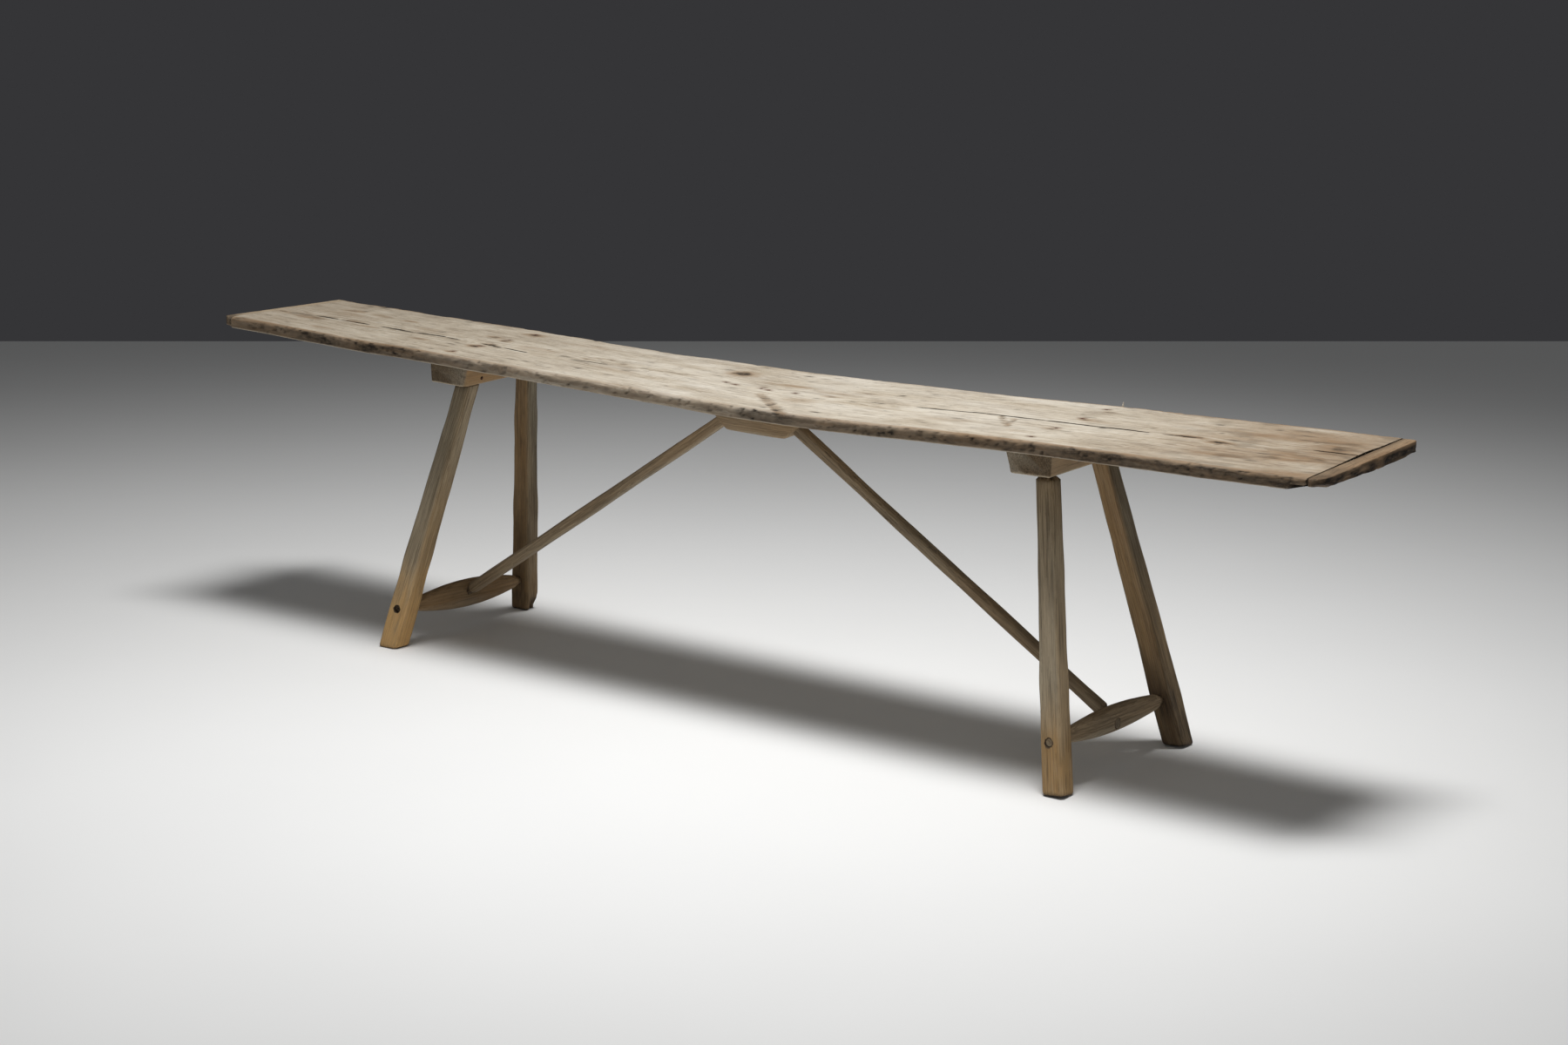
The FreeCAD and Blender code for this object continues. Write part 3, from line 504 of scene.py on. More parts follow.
def stained(x, y):
    """Relief, dark, brown and rust of the stains, the scribed line, the nails and the specks."""
    spot = stacked(x, y, 0)
    cloudy, bled = 0.5 * lumps(spot, (40, 12), 17), 2 * lumps(spot, 8, 20)
    patchy = soft_step(-0.2, 0.6, lumps(spot, (22, 7), 18))
    relief, dark, brown, rust = np.zeros((4,) + x.shape)
    for *oval, colour, darkness in STAINS:
        cloud = soft_step(1.3, 0.2, from_oval(x, y, oval) + cloudy)
        brown += colour * cloud
        dark += darkness * cloud * patchy
    line = soft_step(1.4, 0.5, np.abs(x - SCRIBED_X))
    line = line * soft_step(-4, 4, y - SCRIBED_FROM) * soft_step(-4, 4, SCRIBED_TO - y)
    relief -= 0.8 * line
    dark += 0.45 * line
    for nail_x, nail_y in BATTEN_NAILS["left"] + BATTEN_NAILS["right"] + BLOCK_NAILS:
        away = np.hypot((x - nail_x) / 1.6, y - nail_y) + bled
        rust = np.maximum(rust, soft_step(11, 4, away))
        relief -= 0.8 * soft_step(8, 4, away)
    for *oval, darkness in SPECKS:
        away = from_oval(x, y, oval)
        dark += darkness * soft_step(1.2, 0.4, away)
        relief -= 0.6 * darkness * soft_step(1.0, 0.3, away)
    return relief, dark, brown, rust


def upper_face(x, y):
    """Relief of the upper face in millimetres, and its dark, brown, pale and rusty marks."""
    spot = stacked(x, y, 0)
    knots, stains = knotty(x, y), stained(x, y)
    relief, dark, brown = (knot + stain for knot, stain in zip(knots, stains))
    relief += uneven(spot, 11, (0.7, 260, 60), (0.35, 70, 14), (0.2, 26, 6))
    end = soft_step(850, 1450, x)
    dark += (0.26 * end + 0.1) * soft_step(0.0, 0.7, lumps(spot, (48, 14), 27))
    brown += 0.75 * end * (0.75 + 0.6 * lumps(spot, (120, 36), 26)) + 0.2 * soft_step(1150, 1500, -x)
    pale = soft_step(1250, 150, np.abs(x - 200)) * (0.46 + 0.5 * lumps(spot, (130, 40), 19))
    return relief, dark, brown, pale * (1 - np.clip(brown, 0, 1)), stains[3]


print("stains:", len(STAINS), "specks:", len(SPECKS))

# %% [markdown]
# The plank's loops run from the left end to the right, each over the top, round the back edge, under
# and round the front edge. Both ends are out of square, and the lower right front corner is torn away.

# %% Build the plank
TOP_ROUND, LOW_ROUND = 9, 6
CLAMP_LEFT, CLAMP_RIGHT, LEFT_SKEW, RIGHT_SKEW = 28, 35, 15, 11
TORN_CORNER = 46
SPLINTER_X, SPLINTER_HEIGHT, SPLINTER_SIDES = 830, 9.5, 8
# The gap at the right clamp, from the front to the back: share of the width, gap
RIGHT_GAP = ((0, 0.3), (0.35, 1), (0.5, 5), (0.62, 5), (0.75, 2.2), (1, 0.8))


def section_half():
    """From the heart line out over the top, round the edge and back under, for one half: the share of
    the way to the edge, the distance in from the edge, and the height above the under face."""
    reach = HALF_WIDTH - TOP_ROUND
    offsets = np.concatenate([[0, 1, 2.4, 4.4, 7.2, 11, 15.5, 20], np.arange(25, reach - 2, 5), [reach]])
    turn = np.linspace(0, math.pi / 2, 7)[1:]
    low_turn = np.linspace(math.pi / 2, 0, 5)
    sides = np.linspace(THICK - TOP_ROUND, LOW_ROUND, 4)[1:-1]
    share = np.concatenate([offsets / reach, np.ones(13), np.linspace(1, 0, 17)[1:]])
    inset = np.concatenate([np.full(len(offsets), TOP_ROUND), TOP_ROUND * (1 - np.sin(turn)), [0, 0],
                            LOW_ROUND * (1 - np.sin(low_turn)), np.full(16, LOW_ROUND)])
    height = np.concatenate([np.full(len(offsets), THICK), THICK - TOP_ROUND * (1 - np.cos(turn)), sides,
                             LOW_ROUND * (1 - np.cos(low_turn)), np.zeros(16)])
    return share, inset, height


share, inset, height = section_half()
ring = np.concatenate([np.arange(len(share)), np.arange(len(share))[-2:0:-1]])
back_half = np.concatenate([np.ones(len(share)), np.zeros(len(share) - 2)]) > 0
inward = np.where(back_half, -1, 1)
share, inset, height = share[ring], inset[ring], height[ring]
in_shake = (share == 0) & (height == THICK)
lip = np.isclose(share * (HALF_WIDTH - TOP_ROUND), 1) & (height == THICK)

scribed_rows = SCRIBED_X + np.array([-1.5, -0.7, 0, 0.7, 1.5])
along = np.linspace(CLAMP_LEFT - HALF_LENGTH, HALF_LENGTH - CLAMP_RIGHT, 436)
along = np.sort(np.concatenate([along, scribed_rows, along[-1:] - 2]))
x = np.repeat(along[:, None], len(share), 1)
edge = np.where(back_half, back_edge(x), front_edge(x))
heart = heart_line(x)
y = heart + share * (np.sign(edge) * (np.abs(edge) - inset) - heart)
opened = shake_width(x)
aside = opened * np.clip(1 - np.abs(y - heart) / 60, 0, 1) * (height == THICK) * ~in_shake
y = y - inward * aside

across_share = across_top(y)
open_gap = between(across_share, RIGHT_GAP)
drawn_right = RIGHT_SKEW * (1 - across_share) + open_gap
x = x + LEFT_SKEW * across_share * soft_step(-1100, CLAMP_LEFT - HALF_LENGTH, x)
x = x - drawn_right * soft_step(1100, HALF_LENGTH - CLAMP_RIGHT, x)

# The lower front corner of the right end is torn away
x = x - TORN_CORNER * soft_step(-110, -205, y) * soft_step(18, 4, height) * soft_step(1300, 1500, x)

print("plank:", x.shape[0], "loops of", x.shape[1], "points")

# %% [markdown]
# The relief of the upper face lifts or sinks the points on top. The rims are rubbed and eaten, and
# dirt lies on them, most of it far out and right of the middle. The shakes, their lips and the end in
# the gap at the right clamp are darker.

# %% Wear and finish the plank
relief, dark, brown, pale, rust = upper_face(x, y)
upper = soft_step(THICK - TOP_ROUND, THICK - 1, height)
spot = stacked(x, y, height)
worn = uneven(spot, 21, (1.3, 34, 12), (1.0, 13, 6)) * (1 + 1.4 * soft_step(1380, 1480, x))
rim = soft_step(0.97, 1, share) * soft_step(1, 4, height)
z = under(x) + warp(x, y) + height * DEPTH / THICK + relief * upper
z = z - np.where(in_shake, np.minimum(18, 9 * np.maximum(0, opened - 0.2)), 0)
y = y + inward * rim * np.abs(worn) * 1.3
z = z - np.where(height > THICK / 2, 1, -0.6) * rim * np.maximum(0, worn)
holes = soft_step(0.35, 0.7, lumps(spot, (9, 5), 23)) * rim
y = y + inward * holes * 2.2

far_out, right_part = soft_step(450, 1000, np.abs(x)), soft_step(200, 340, x)
grime = 0.02 + uneven(spot, 24, (0.3, 80, 12), (0.2, 19, 8))
grime = grime + np.maximum(0.7 * far_out * (1 - 0.45 * soft_step(-1200, -1340, x)), 0.4 * right_part)
grime = grime + 0.5 * soft_step(60, 100, x) * soft_step(235, 205, x)
grime = grime * rim * soft_step(THICK + 1, THICK - 5, height)
open_end = soft_step(1.6, 0.5, x.max(0) - x) * (0.4 + 0.15 * open_gap)
crack = soft_step(0.2, 1.2, opened) * np.where(in_shake, 1.6, np.where(lip, 0.7, 0))
dark = dark * upper + crack + holes * 0.5 + grime + open_end
brown = brown * upper + (0.4 + 0.5 * far_out + 0.4 * right_part) * rim

# A thin, pale splinter has lifted from the back edge, and leans a little
rise = np.array([-5, 0, 4, 8, SPLINTER_HEIGHT])[:, None]
root_y = HALF_WIDTH - 5
root = np.array([SPLINTER_X, root_y, under(SPLINTER_X) + DEPTH + warp(SPLINTER_X, root_y)])
thin = np.repeat(np.interp(rise, [0, SPLINTER_HEIGHT], [2.4, 1.2]), SPLINTER_SIDES, 1)
splinter = sweep(root + rise * np.array([0.1, 0.1, 1]), (1, 0, 0), (0, 1, 0), around(SPLINTER_SIDES), thin)[0]

plank_skin = (stacked(x, y, z), stacked(x, y, height - THICK), (dark, brown, pale * upper, rust * upper))
top_plank = skin("plank", plank_skin, (splinter, splinter, (0, 0, 1, 0)))
print("plank:", len(top_plank.data.polygons), "faces")

# %% [markdown]
# ## End clamps
#
# A cross piece is nailed over the end grain at each end of the plank to keep it flat. The right one
# has worked loose: a dark gap shows, widest behind its middle. Its front corner is torn and its lower
# edge is rubbed off. The corners are worn round, so each section's width follows the plan of the end.

# %% Build the end clamps
# How far the front and the back corner are drawn in, and from how far along the end
CORNERS_LEFT, CORNERS_RIGHT = ((16, 16), (9, 9)), ((26, 52), (16, 24))


def corner_pull(y, depth, reach):
    """How far a worn corner draws in the end of the top near one of its long edges."""
    inside = np.clip(1 - (HALF_WIDTH - y) / reach, 0, 1)
    return depth * (1 - np.sqrt(1 - inside ** 2))


def end_clamp(name, sign, width, skew, corners, rough, seed):
    """A clamp as a sweep across the end, from the front to the back."""
    y, inset = stations(2 * HALF_WIDTH - 5, 5, 7)
    share = across_top(y)
    outer = HALF_LENGTH - skew * (share if sign < 0 else 1 - share)
    inner = outer - width
    outer = np.maximum(outer - corner_pull(-y, *corners[0]) - corner_pull(y, *corners[1]), inner + 3)
    half, middle = (outer - inner) / 2, sign * (outer + inner) / 2
    angles = around(56)
    section = [(half * a, THICK / 2 * b) for a, b in ((-1, -1), (1, -1), (1, 1), (-1, 1))]
    reach = softened(angles, section, np.minimum(inset, half - 1), 15)
    out, low = np.maximum(0, sign * np.cos(angles)), soft_step(-0.1, -0.8, np.sin(angles))
    spot = in_wood(y, angles, reach)
    torn = np.maximum(0, lumps(spot, (34, 14, 9), seed))
    torn = torn + 0.6 * np.maximum(0, lumps(spot, (12, 8, 5), seed + 1))
    reach = reach - rough * (0.3 + 1.6 * out + 2.2 * out * low) * torn + 0.3 * lumps(spot, (60, 6), seed + 2)
    middles = np.hstack([middle, y, under(middle) + DEPTH / 2])
    loops, a, b = sweep(middles, (1, 0, 0), (0, 0, 1), angles, reach)
    loops[..., 2] += warp(loops[..., 0], loops[..., 1]) + (under(loops[..., 0]) - under(middle))

    # The lower edge is rubbed off, most of all at the front corner, and the top has sunk a little
    front = soft_step(60, 10, y + HALF_WIDTH)
    rubbed = (1 + 7 * soft_step(30, -130, y)) * out + 9 * front
    loops[..., 2] += rough * (rubbed * soft_step(4, -THICK / 2, b) - soft_step(0, THICK / 2, b))

    black = 0.6 + 1.1 * lumps(spot, (34, 16, 12), seed + 4)
    gap = soft_step(0.15, 0.6, share) if sign > 0 else 0.4
    dark = rough * black * out * soft_step(0.75, 0.2, np.sin(angles)) + (0.5 + 0.2 * rough) * front
    dark = dark + 0.6 * gap * soft_step(0.2, 0.8, -sign * np.cos(angles))
    dark = dark + 0.4 * rough * soft_step(-190, -150, y) * soft_step(-60, -110, y)
    brown = 0.1 + 0.4 * rough + 0.5 * out + 0.5 * front + 0.25 * lumps(spot, (50, 10), seed + 3)
    return skin(name, (loops, stacked(y + 700 * sign, a + 40, b), (dark, brown, 0.8 * (1 - rough), 0)))


clamp_left = end_clamp("clamp_left", -1, CLAMP_LEFT, LEFT_SKEW, CORNERS_LEFT, 0.3, 31)
clamp_right = end_clamp("clamp_right", 1, CLAMP_RIGHT, RIGHT_SKEW, CORNERS_RIGHT, 1.0, 37)
print("clamps:", len(clamp_left.data.polygons), "faces each")

# %% [markdown]
# ## Bored holes
#
# A tenon that shows on the far side sits in a bored hole with a thin dark ring round it. The ring is
# real only if the hole is, so a short round rod is taken out of the piece with a boolean, and the
# result is kept as the piece's mesh.


# %% Bore a hole through a piece
def unit(vector):
    """The same direction with a length of 1."""
    return vector / np.linalg.norm(vector)


def bore(piece, at, axis, before, after, diameter):
    """Cut a round hole along an axis, from so many millimetres before a point to so many after it."""
    ends = np.array([at - before * axis, at + after * axis])
    side = unit(np.cross(axis, (0.3, 0.2, 1)))
    angles = around(40)
    loops, a, b = sweep(ends, side, np.cross(axis, side), angles, np.full((2, len(angles)), diameter / 2))
    rod = skin("rod", (loops, stacked(a, b, a), (0.8, 0.6, 0, 0)))
    modifier = piece.modifiers.new("hole", "BOOLEAN")
    modifier.operation, modifier.solver, modifier.object = "DIFFERENCE", "EXACT", rod
    bored = piece.evaluated_get(bpy.context.evaluated_depsgraph_get())
    whole, piece.data = piece.data, bpy.data.meshes.new_from_object(bored)
    piece.modifiers.clear()
    bpy.data.meshes.remove(whole)
    bpy.data.objects.remove(rod)
    return piece


# %% [markdown]
# ## Battens
#
# Two heavy cross pieces under the plank take the legs. Their lower arrises are rubbed round, the side
# towards the middle slopes more than the outer one, and they lie square to the sloping plank. The
# upright arris between the front end and the inner side has been cut off.

# %% Build the battens
BATTEN_LENGTH, BATTEN_HEIGHT, INNER_SLOPE, OUTER_SLOPE = 336, 52, 9, 4
LEG_TENON, TENON_DEPTH, TENON_PLAY = 33, 40, 0.8
BATTEN_SEAT = VALLEY + BATTEN_OUT * SLOPE
BATTEN_LOW = BATTEN_SEAT - BATTEN_HEIGHT * math.cos(SAG)
SIDES = {"left": -1, "right": 1}


def per_leg(*values):
    """One value for each leg, by its name."""
    return dict(zip(("front_left", "back_left", "front_right", "back_right"), values))


# The middle of each foot on the floor, x and y, and how far back the top of its leg is
FEET = per_leg((-965, -228, -98), (-947, 239, 114), (961, -251, -86), (985, 212, 132))


def leg_line(leg):
    """The foot's middle on the floor, and the leg's middle at the batten's under face."""
    foot_x, foot_y, top_y = FEET[leg]
    top = np.array([math.copysign(BATTEN_OUT, foot_x), top_y, BATTEN_LOW])
    return np.array([foot_x, foot_y, 0.0]), top


def batten(side, sign, seed):
    """A batten as a sweep from its front end to its back end, bored for the legs."""
    y, inset = stations(BATTEN_LENGTH, 5, 3)
    ends = ((1, 1), (0, 0))
    y, inset = np.pad(y, ends, "edge"), np.pad(inset, ends, constant_values=6)
    half, low = BATTEN_HALF_TOP, BATTEN_HEIGHT / 2
    slopes = {sign: OUTER_SLOPE, -sign: INNER_SLOPE}
    # The cut of the front arris is deeper below than above
    cut = np.clip(11 - (y + BATTEN_LENGTH / 2), 0, 11)
    cuts = {sign: 0 * cut, -sign: cut}
    corners = [(slopes[-1] + cuts[-1] - half, -low), (half - slopes[1] - cuts[1], -low),
               (half - 0.2 * cuts[1], low), (0.2 * cuts[-1] - half, low)]
    near = np.array([-0.1, -0.06, -0.03, 0, 0.03, 0.06, 0.1])
    low_corners = [math.atan2(-low, x) + near for x in (slopes[-1] - half, half - slopes[1])]
    angles = np.sort(np.mod(np.concatenate([around(80, 1.5), *low_corners]), 2 * math.pi))
    reach = softened(angles, corners, inset, 70)
    spot = in_wood(y + 900 * sign, angles, reach)
    free = soft_step(0.75, 0.4, np.sin(angles))
    reach = reach + free * uneven(spot, seed, (0.35, 120, 22), (0.15, 30, 7))
    tilt = sign * math.sin(SAG)
    across_side, up = np.array([math.cos(SAG), 0, tilt]), np.array([-tilt, 0, math.cos(SAG)])
    middle = np.array([sign * BATTEN_OUT, 0, BATTEN_SEAT]) - low * up
    loops, a, b = sweep(middle + y * np.array([0, 1, 0]), across_side, up, angles, reach)
    loops[..., 2] += warp(loops[..., 0], loops[..., 1]) * soft_step(-0.4, 0.9, b / low)

    end = soft_step(9, 2, y + BATTEN_LENGTH / 2)
    # Painted light: the side that faces right is lighter and browner, most of all on the left batten, and the
    # other sides are darker, painted shade
    right = soft_step(0.3, 0.8, np.cos(angles)) * (1 - end)
    # Painted highlight: a pale line along the rubbed lower arrises, where light from the floor catches them,
    # with no dirt on it
    arris = soft_step(low - 4, low - 2, -b) * np.maximum(soft_step(7, 3, half - 6 - np.abs(a)), end)
    fresh = soft_step(2, 9, cut) * end * soft_step(0.2, 0.6, -sign * np.cos(angles))
    brown = 0.2 + (1.05 if side == "left" else 0.4) * right + 0.2 * lumps(spot, (90, 30), seed + 2)
    dark = (0.41 - 0.05 * sign) * end + 0.12 * (1 - right)
    dark = dark + 0.2 * soft_step(0.3, 0.9, lumps(spot, (24, 14), seed + 3))
    pale = 0.45 * right + 0.9 * np.maximum(arris, fresh)
    grain = stacked(y + 900 * sign, a + 70, b + 30)
    piece = skin(f"batten_{side}_piece", (loops, grain, (dark * (1 - arris), brown, pale, 0)))
    for name in (f"front_{side}", f"back_{side}"):
        foot, top = leg_line(name)
        bore(piece, top, unit(top - foot), 30, TENON_DEPTH + 5, LEG_TENON + TENON_PLAY)
    return piece


battens = {side: batten(side, sign, 41 + 6 * sign) for side, sign in SIDES.items()}
print("battens at", round(BATTEN_LOW, 1), "to", round(BATTEN_SEAT, 1), "mm")

# %% [markdown]
# ## Legs
#
# Each leg is a sawn square stick, planed thinner towards the top, where a round tenon goes into the
# batten. The shoulders stop short of the batten. The arrises are rubbed, the sides are uneven, and no
# two legs have quite the same section. The loops are laid level with the floor all the way up, so the
# sole is level however far the leg leans. Its edge is rubbed round. The right legs' soles have worn
# away at the outer front corner, where a dark wedge of air shows, and a corner of the left back foot
# has broken off.

# %% The measures of the legs
FOOT_WIDTH, LEG_TOP_WIDTH, LEG_ARRIS = 52, 43, 6
STRETCHER_TENON, STRETCHER_PLAY, HOLE_REACH = 18, 1.4, 60
# The rounded edge of a sole: heights above the floor, and how far it draws in there
SOLE_STEPS, SOLE_INSETS = [0, 0.8, 3, 7, 12], [5.5, 3.6, 1.4, 0.3, 0]
STRETCHER_HEIGHTS = per_leg(97, 82, 110, 108)
# How far each leg's shoulder is below the batten, and how far its arrises are cut off there
LEG_SHOULDERS = per_leg((8, 4), (5, 4), (17, 6), (5, 4))
LEG_SEEDS = per_leg(101, 121, 141, 161)
# How much wider than the square each leg is along the table and across it, at the foot and the top
LEG_UNEVEN = per_leg((5, 1, -1, 4), (5, -4, 4, -4), (2, 1, 2, -3), (1, 5, 2, 1))
# Dirt and brown on the front side, on the right side and round the foot of each leg, then how much of
# it is bleached, how red the front side is and how dark the streaks are. The front and right side's
# dirt and brown also paint the light and shade that fall on those sides.
LEG_TINTS = per_leg(((0.15, 0.05), (0.0, 0.45), (-0.1, 1.2), 0.1, 0.0, 0.15),
                    ((0.44, 0.75), (0.26, 0.2), (0.56, 0.7), 0.0, 0.32, 0.2),
                    ((-0.1, 0.1), (0.05, 0.4), (0.2, 0.7), 0.62, 0.06, 0.55),
                    ((-0.05, 0.5), (0.45, 0.5), (0.68, 0.4), 0.0, 0.34, 0.25))
# How far the outer front corner of each sole has worn away
SOLE_WEAR = per_leg(1, 0, 6, 5)


def stretcher_line(side):
    """Where a stretcher's line crosses the middles of its front and back leg."""
    ends = []
    for name in (f"front_{side}", f"back_{side}"):
        foot, top = leg_line(name)
        ends.append(foot + (top - foot) * STRETCHER_HEIGHTS[name] / BATTEN_LOW)
    return ends


# %% [markdown]
# The marks of a leg follow its sides: grey where the light bleached it, and golden or black round the
# foot, where mops and shoes have been. The front and the right side each have their own dirt and
# brown, which paint the light and shade that fall on that side. The bleach fades out towards the top,
# painted shade under the plank; the leg is painted darker just under the batten, and the rounded edge
# of the sole is painted with its shade.


# %% The marks of a leg
def leg_marks(name, s, shoulder, angles, spot, chip):
    """Dirt, brown, bleach and red on a leg, for a column of places s along it, with painted light and
    shade on its sides, under the batten and round the sole.
    """
    (front_dirt_and_shade, front_brown), (right_dirt_and_shade, right_brown), foot, bleach, red, streaks = LEG_TINTS[name]
    seed = LEG_SEEDS[name]
    # Painted light and shade: the front and the right side get their own dirt and brown, so a lit side comes
    # out lighter and a shaded side darker
    front, right = soft_step(0.55, 0.85, -np.sin(angles)), soft_step(0.55, 0.85, np.cos(angles))
    low = soft_step(270, 40, s) * (1 + 0.3 * lumps(spot, (90, 30), seed + 8))
    low = np.clip(low * (1 + 0.45 * lumps(spot, (46, 13), seed + 11)), 0, 1.2)
    dark = front * front_dirt_and_shade + right * right_dirt_and_shade
    dark = dark + streaks * soft_step(0.1, 0.7, lumps(spot, (130, 5), seed + 14))
    # Painted shade: the rounded edge of the sole, its lowest 6 mm, is darkened
    dark = dark + (foot[0] - dark) * low + 0.9 * soft_step(6, 0, s) + 0.8 * chip
    # Painted shade under the batten: darker over the last 25 mm below the shoulder, and darker still on the
    # bare tenon above it
    dark = dark + 0.3 * soft_step(shoulder - 25, shoulder, s) + 0.5 * (s > shoulder)
    dark = dark + 0.16 * low * soft_step(0.1, 0.8, lumps(spot, (40, 12), seed + 12))
    right_brown = right_brown * (0.35 + 0.65 * soft_step(520, 260, s))
    brown = front * front_brown + right * right_brown + 0.2 * lumps(spot, (240, 40), seed + 9)
    brown = brown + (foot[1] - brown) * low + 0.6 * chip
    # The bleach fades out towards the top: painted shade under the plank
    pale = bleach * soft_step(shoulder, shoulder - 260, s)
    pale = (pale + 0.4 * soft_step(0.1, 0.8, lumps(spot, (200, 30), seed + 10))) * (1 - low)
    reddish = red * (front + 0.3 * low) * (1 + 0.5 * lumps(spot, (120, 20), seed + 13))
    return dark, brown, pale, reddish


# %% [markdown]
# A leg's section is a square with cut corners, given at every station from the sole to the shoulder.
# The corners need the points most, so their directions lie close together.


# %% Build the legs
def leg(name):
    """A leg as a sweep from its sole to the end of its tenon, bored for the stretcher."""
    foot, top = leg_line(name)
    seed = LEG_SEEDS[name]
    length, axis = np.linalg.norm(top - foot), unit(top - foot)
    side = unit(np.array([1, 0, 0]) - axis[0] * axis)
    drop, bevel = LEG_SHOULDERS[name]
    shoulder = length - drop
    s = np.concatenate([SOLE_STEPS, np.linspace(18, shoulder - bevel, 125),
                        shoulder - bevel * np.array([0.7, 0.35, 0]),
                        [shoulder + 0.4, length + TENON_DEPTH]])[:, None]
    square = FOOT_WIDTH + (LEG_TOP_WIDTH - FOOT_WIDTH) * s / shoulder
    wider = LEG_UNEVEN[name]
    width = square + np.interp(s, [0, shoulder], wider[::2]) + 0.9 * wave(s, 170, seed)
    depth = square + np.interp(s, [0, shoulder], wider[1::2]) + 0.9 * wave(s, 210, seed + 1)
    cut = np.maximum(2, LEG_ARRIS + 1.8 * wave(s, 60, seed + 2)) + 1.5 * soft_step(70, 8, s)
    inset = np.interp(s, SOLE_STEPS, SOLE_INSETS) + np.clip(s - shoulder + bevel, 0, bevel)
    corner = np.radians([-13, -8.5, -6, -4, -2, 0, 2, 4, 6, 8.5, 13, 19, 26, 33.5, 41, 49, 56.5, 64, 71])
    angles = np.concatenate([corner + math.pi * (0.25 + 0.5 * turn) for turn in range(4)])
    reach = softened(angles, cut_rectangle(width, depth, cut), inset, 60)
    spot = in_wood(s + 40 * seed, angles, reach)
    reach = reach + uneven(spot, seed + 3, (0.45, 150, 18), (0.2, 40, 5))
    chip = soft_step(46, 10, s) * soft_step(0.45, 0.85, np.cos(angles - 0.5)) * (name == "back_left")
    reach = reach - chip * (9 + 5 * lumps(spot, (10, 9), seed + 5))
    reach = np.where(s > shoulder, LEG_TENON / 2, reach)
    middles = foot + s * axis + 1.4 * wave(s, 260, seed + 6) * side * (s < shoulder)
    loops = sweep(middles, side, np.cross(axis, side), angles, reach)[0]

    # Slide every point along the leg until its loop is level, then wear the sole
    loops = loops + ((s * axis[2] - loops[..., 2]) / axis[2])[..., None] * axis
    towards = np.array((0.5, -0.7) if foot[0] > 0 else (0.6, -0.6))
    out = (loops[..., :2] - middles[:, None, :2]) @ towards / FOOT_WIDTH * 2
    loops[..., 2] += SOLE_WEAR[name] * np.clip(out + 0.1, 0, 1) * soft_step(30, 0, s)
    piece = skin(f"leg_{name}_piece", (loops, spot, leg_marks(name, s, shoulder, angles, spot, chip)))
    front, back = stretcher_line(name.split("_")[1])
    at = front if name.startswith("front") else back
    return bore(piece, at, unit(back - front), HOLE_REACH, HOLE_REACH, STRETCHER_TENON + STRETCHER_PLAY)


legs = {name: leg(name) for name in FEET}
print("legs:", {name: len(piece.data.polygons) for name, piece in legs.items()})

# %% [markdown]
# ## Stretchers
#
# A stretcher is a leaf-shaped rail, deep in its middle where the brace comes through it and thin at
# its ends, which are whittled to round tenons right through the legs. The outline changes from a cut
# rectangle to a circle near the leg, so the shoulder has no hard line.

# %% How a stretcher is made
BELLIES = {"left": 68, "right": 58}
RAIL_END_HEIGHT, RAIL_THICK, RAIL_END_THICK, RAIL_NECK, RAIL_CUT_SHARE = 26, 30, 24, 6, 0.26
BRACE_TENON, BRACE_PLAY = 19, 1.2


def stretcher(side, sign, seed):
    """A rail as a sweep from the front leg to the back leg, bored for the brace."""
    left = side == "left"
    front_end, back_end = stretcher_line(side)
    middle, span = (front_end + back_end) / 2, np.linalg.norm(back_end - front_end)
    axis = unit(back_end - front_end)
    face = unit(np.cross(axis, (0, 0, 1)))
    leg_width = FOOT_WIDTH + (LEG_TOP_WIDTH - FOOT_WIDTH) * middle[2] / BATTEN_LOW
    body = span / 2 - leg_width / 2 - RAIL_NECK
    back = span / 2 + leg_width / 2 - 1
    front = back - 4 * left
    inside = np.linspace(8 - front, back - 8, 100)
    s = np.concatenate([[-front, 1.2 - front], inside, [back - 1.2, back]])[:, None]
    belly = np.clip(1 - (s / body) ** 2, 0, 1)
    height = RAIL_END_HEIGHT + (BELLIES[side] - RAIL_END_HEIGHT) * belly + 1.5 * wave(s, 90, seed)
    thick = RAIL_END_THICK + (RAIL_THICK - RAIL_END_THICK) * belly + 0.8 * wave(s, 70, seed + 1)
    angles = around(64, 1, 1.4)
    reach = softened(angles, cut_rectangle(thick, height, RAIL_CUT_SHARE * thick), 0, 24)
    round_end = soft_step(body - 16, body + 5, np.abs(s))
    worn = np.interp(np.abs(s), [back - 3, back], [0, 0.8])
    reach = reach * (1 - round_end) + (STRETCHER_TENON / 2 - worn) * round_end
    spot = in_wood(s + 40 * seed, angles, reach)
    reach = reach + (1 - round_end) * uneven(spot, seed + 2, (0.4, 80, 12), (0.2, 24, 6))
    loops = sweep(middle + s * axis, face, np.cross(face, axis), angles, reach)[0]
    dark = 0.16 * left + 0.12 * lumps(spot, (80, 30), seed + 4) + (0.22 - 0.12 * sign) * round_end
    dark = dark + 0.9 * soft_step(0, -6, s + front - 6) * left
    brown = (0.7 if left else 0.25) + 0.2 * lumps(spot, (90, 40), seed + 5)
    # Painted highlight: the underside is paler, where light from the floor falls on it
    pale = 0.08 + 0.5 * soft_step(-0.45, -0.8, np.sin(angles))
    piece = skin(f"stretcher_{side}_piece", (loops, spot, (dark, brown, pale, 0)))
    start, end = brace_line(side, sign)
    return bore(piece, start, unit(end - start), HOLE_REACH, HOLE_REACH, BRACE_TENON + BRACE_PLAY)


# %% [markdown]
# ## Centre block and braces
#
# The block is a short trapezoid nailed under the bow of the plank, and the braces push
# against its sloping ends. A brace is a square stick with its corners planed off, whittled round at
# the foot where it goes through the stretcher: there its loops are turned to lie flush with the face.

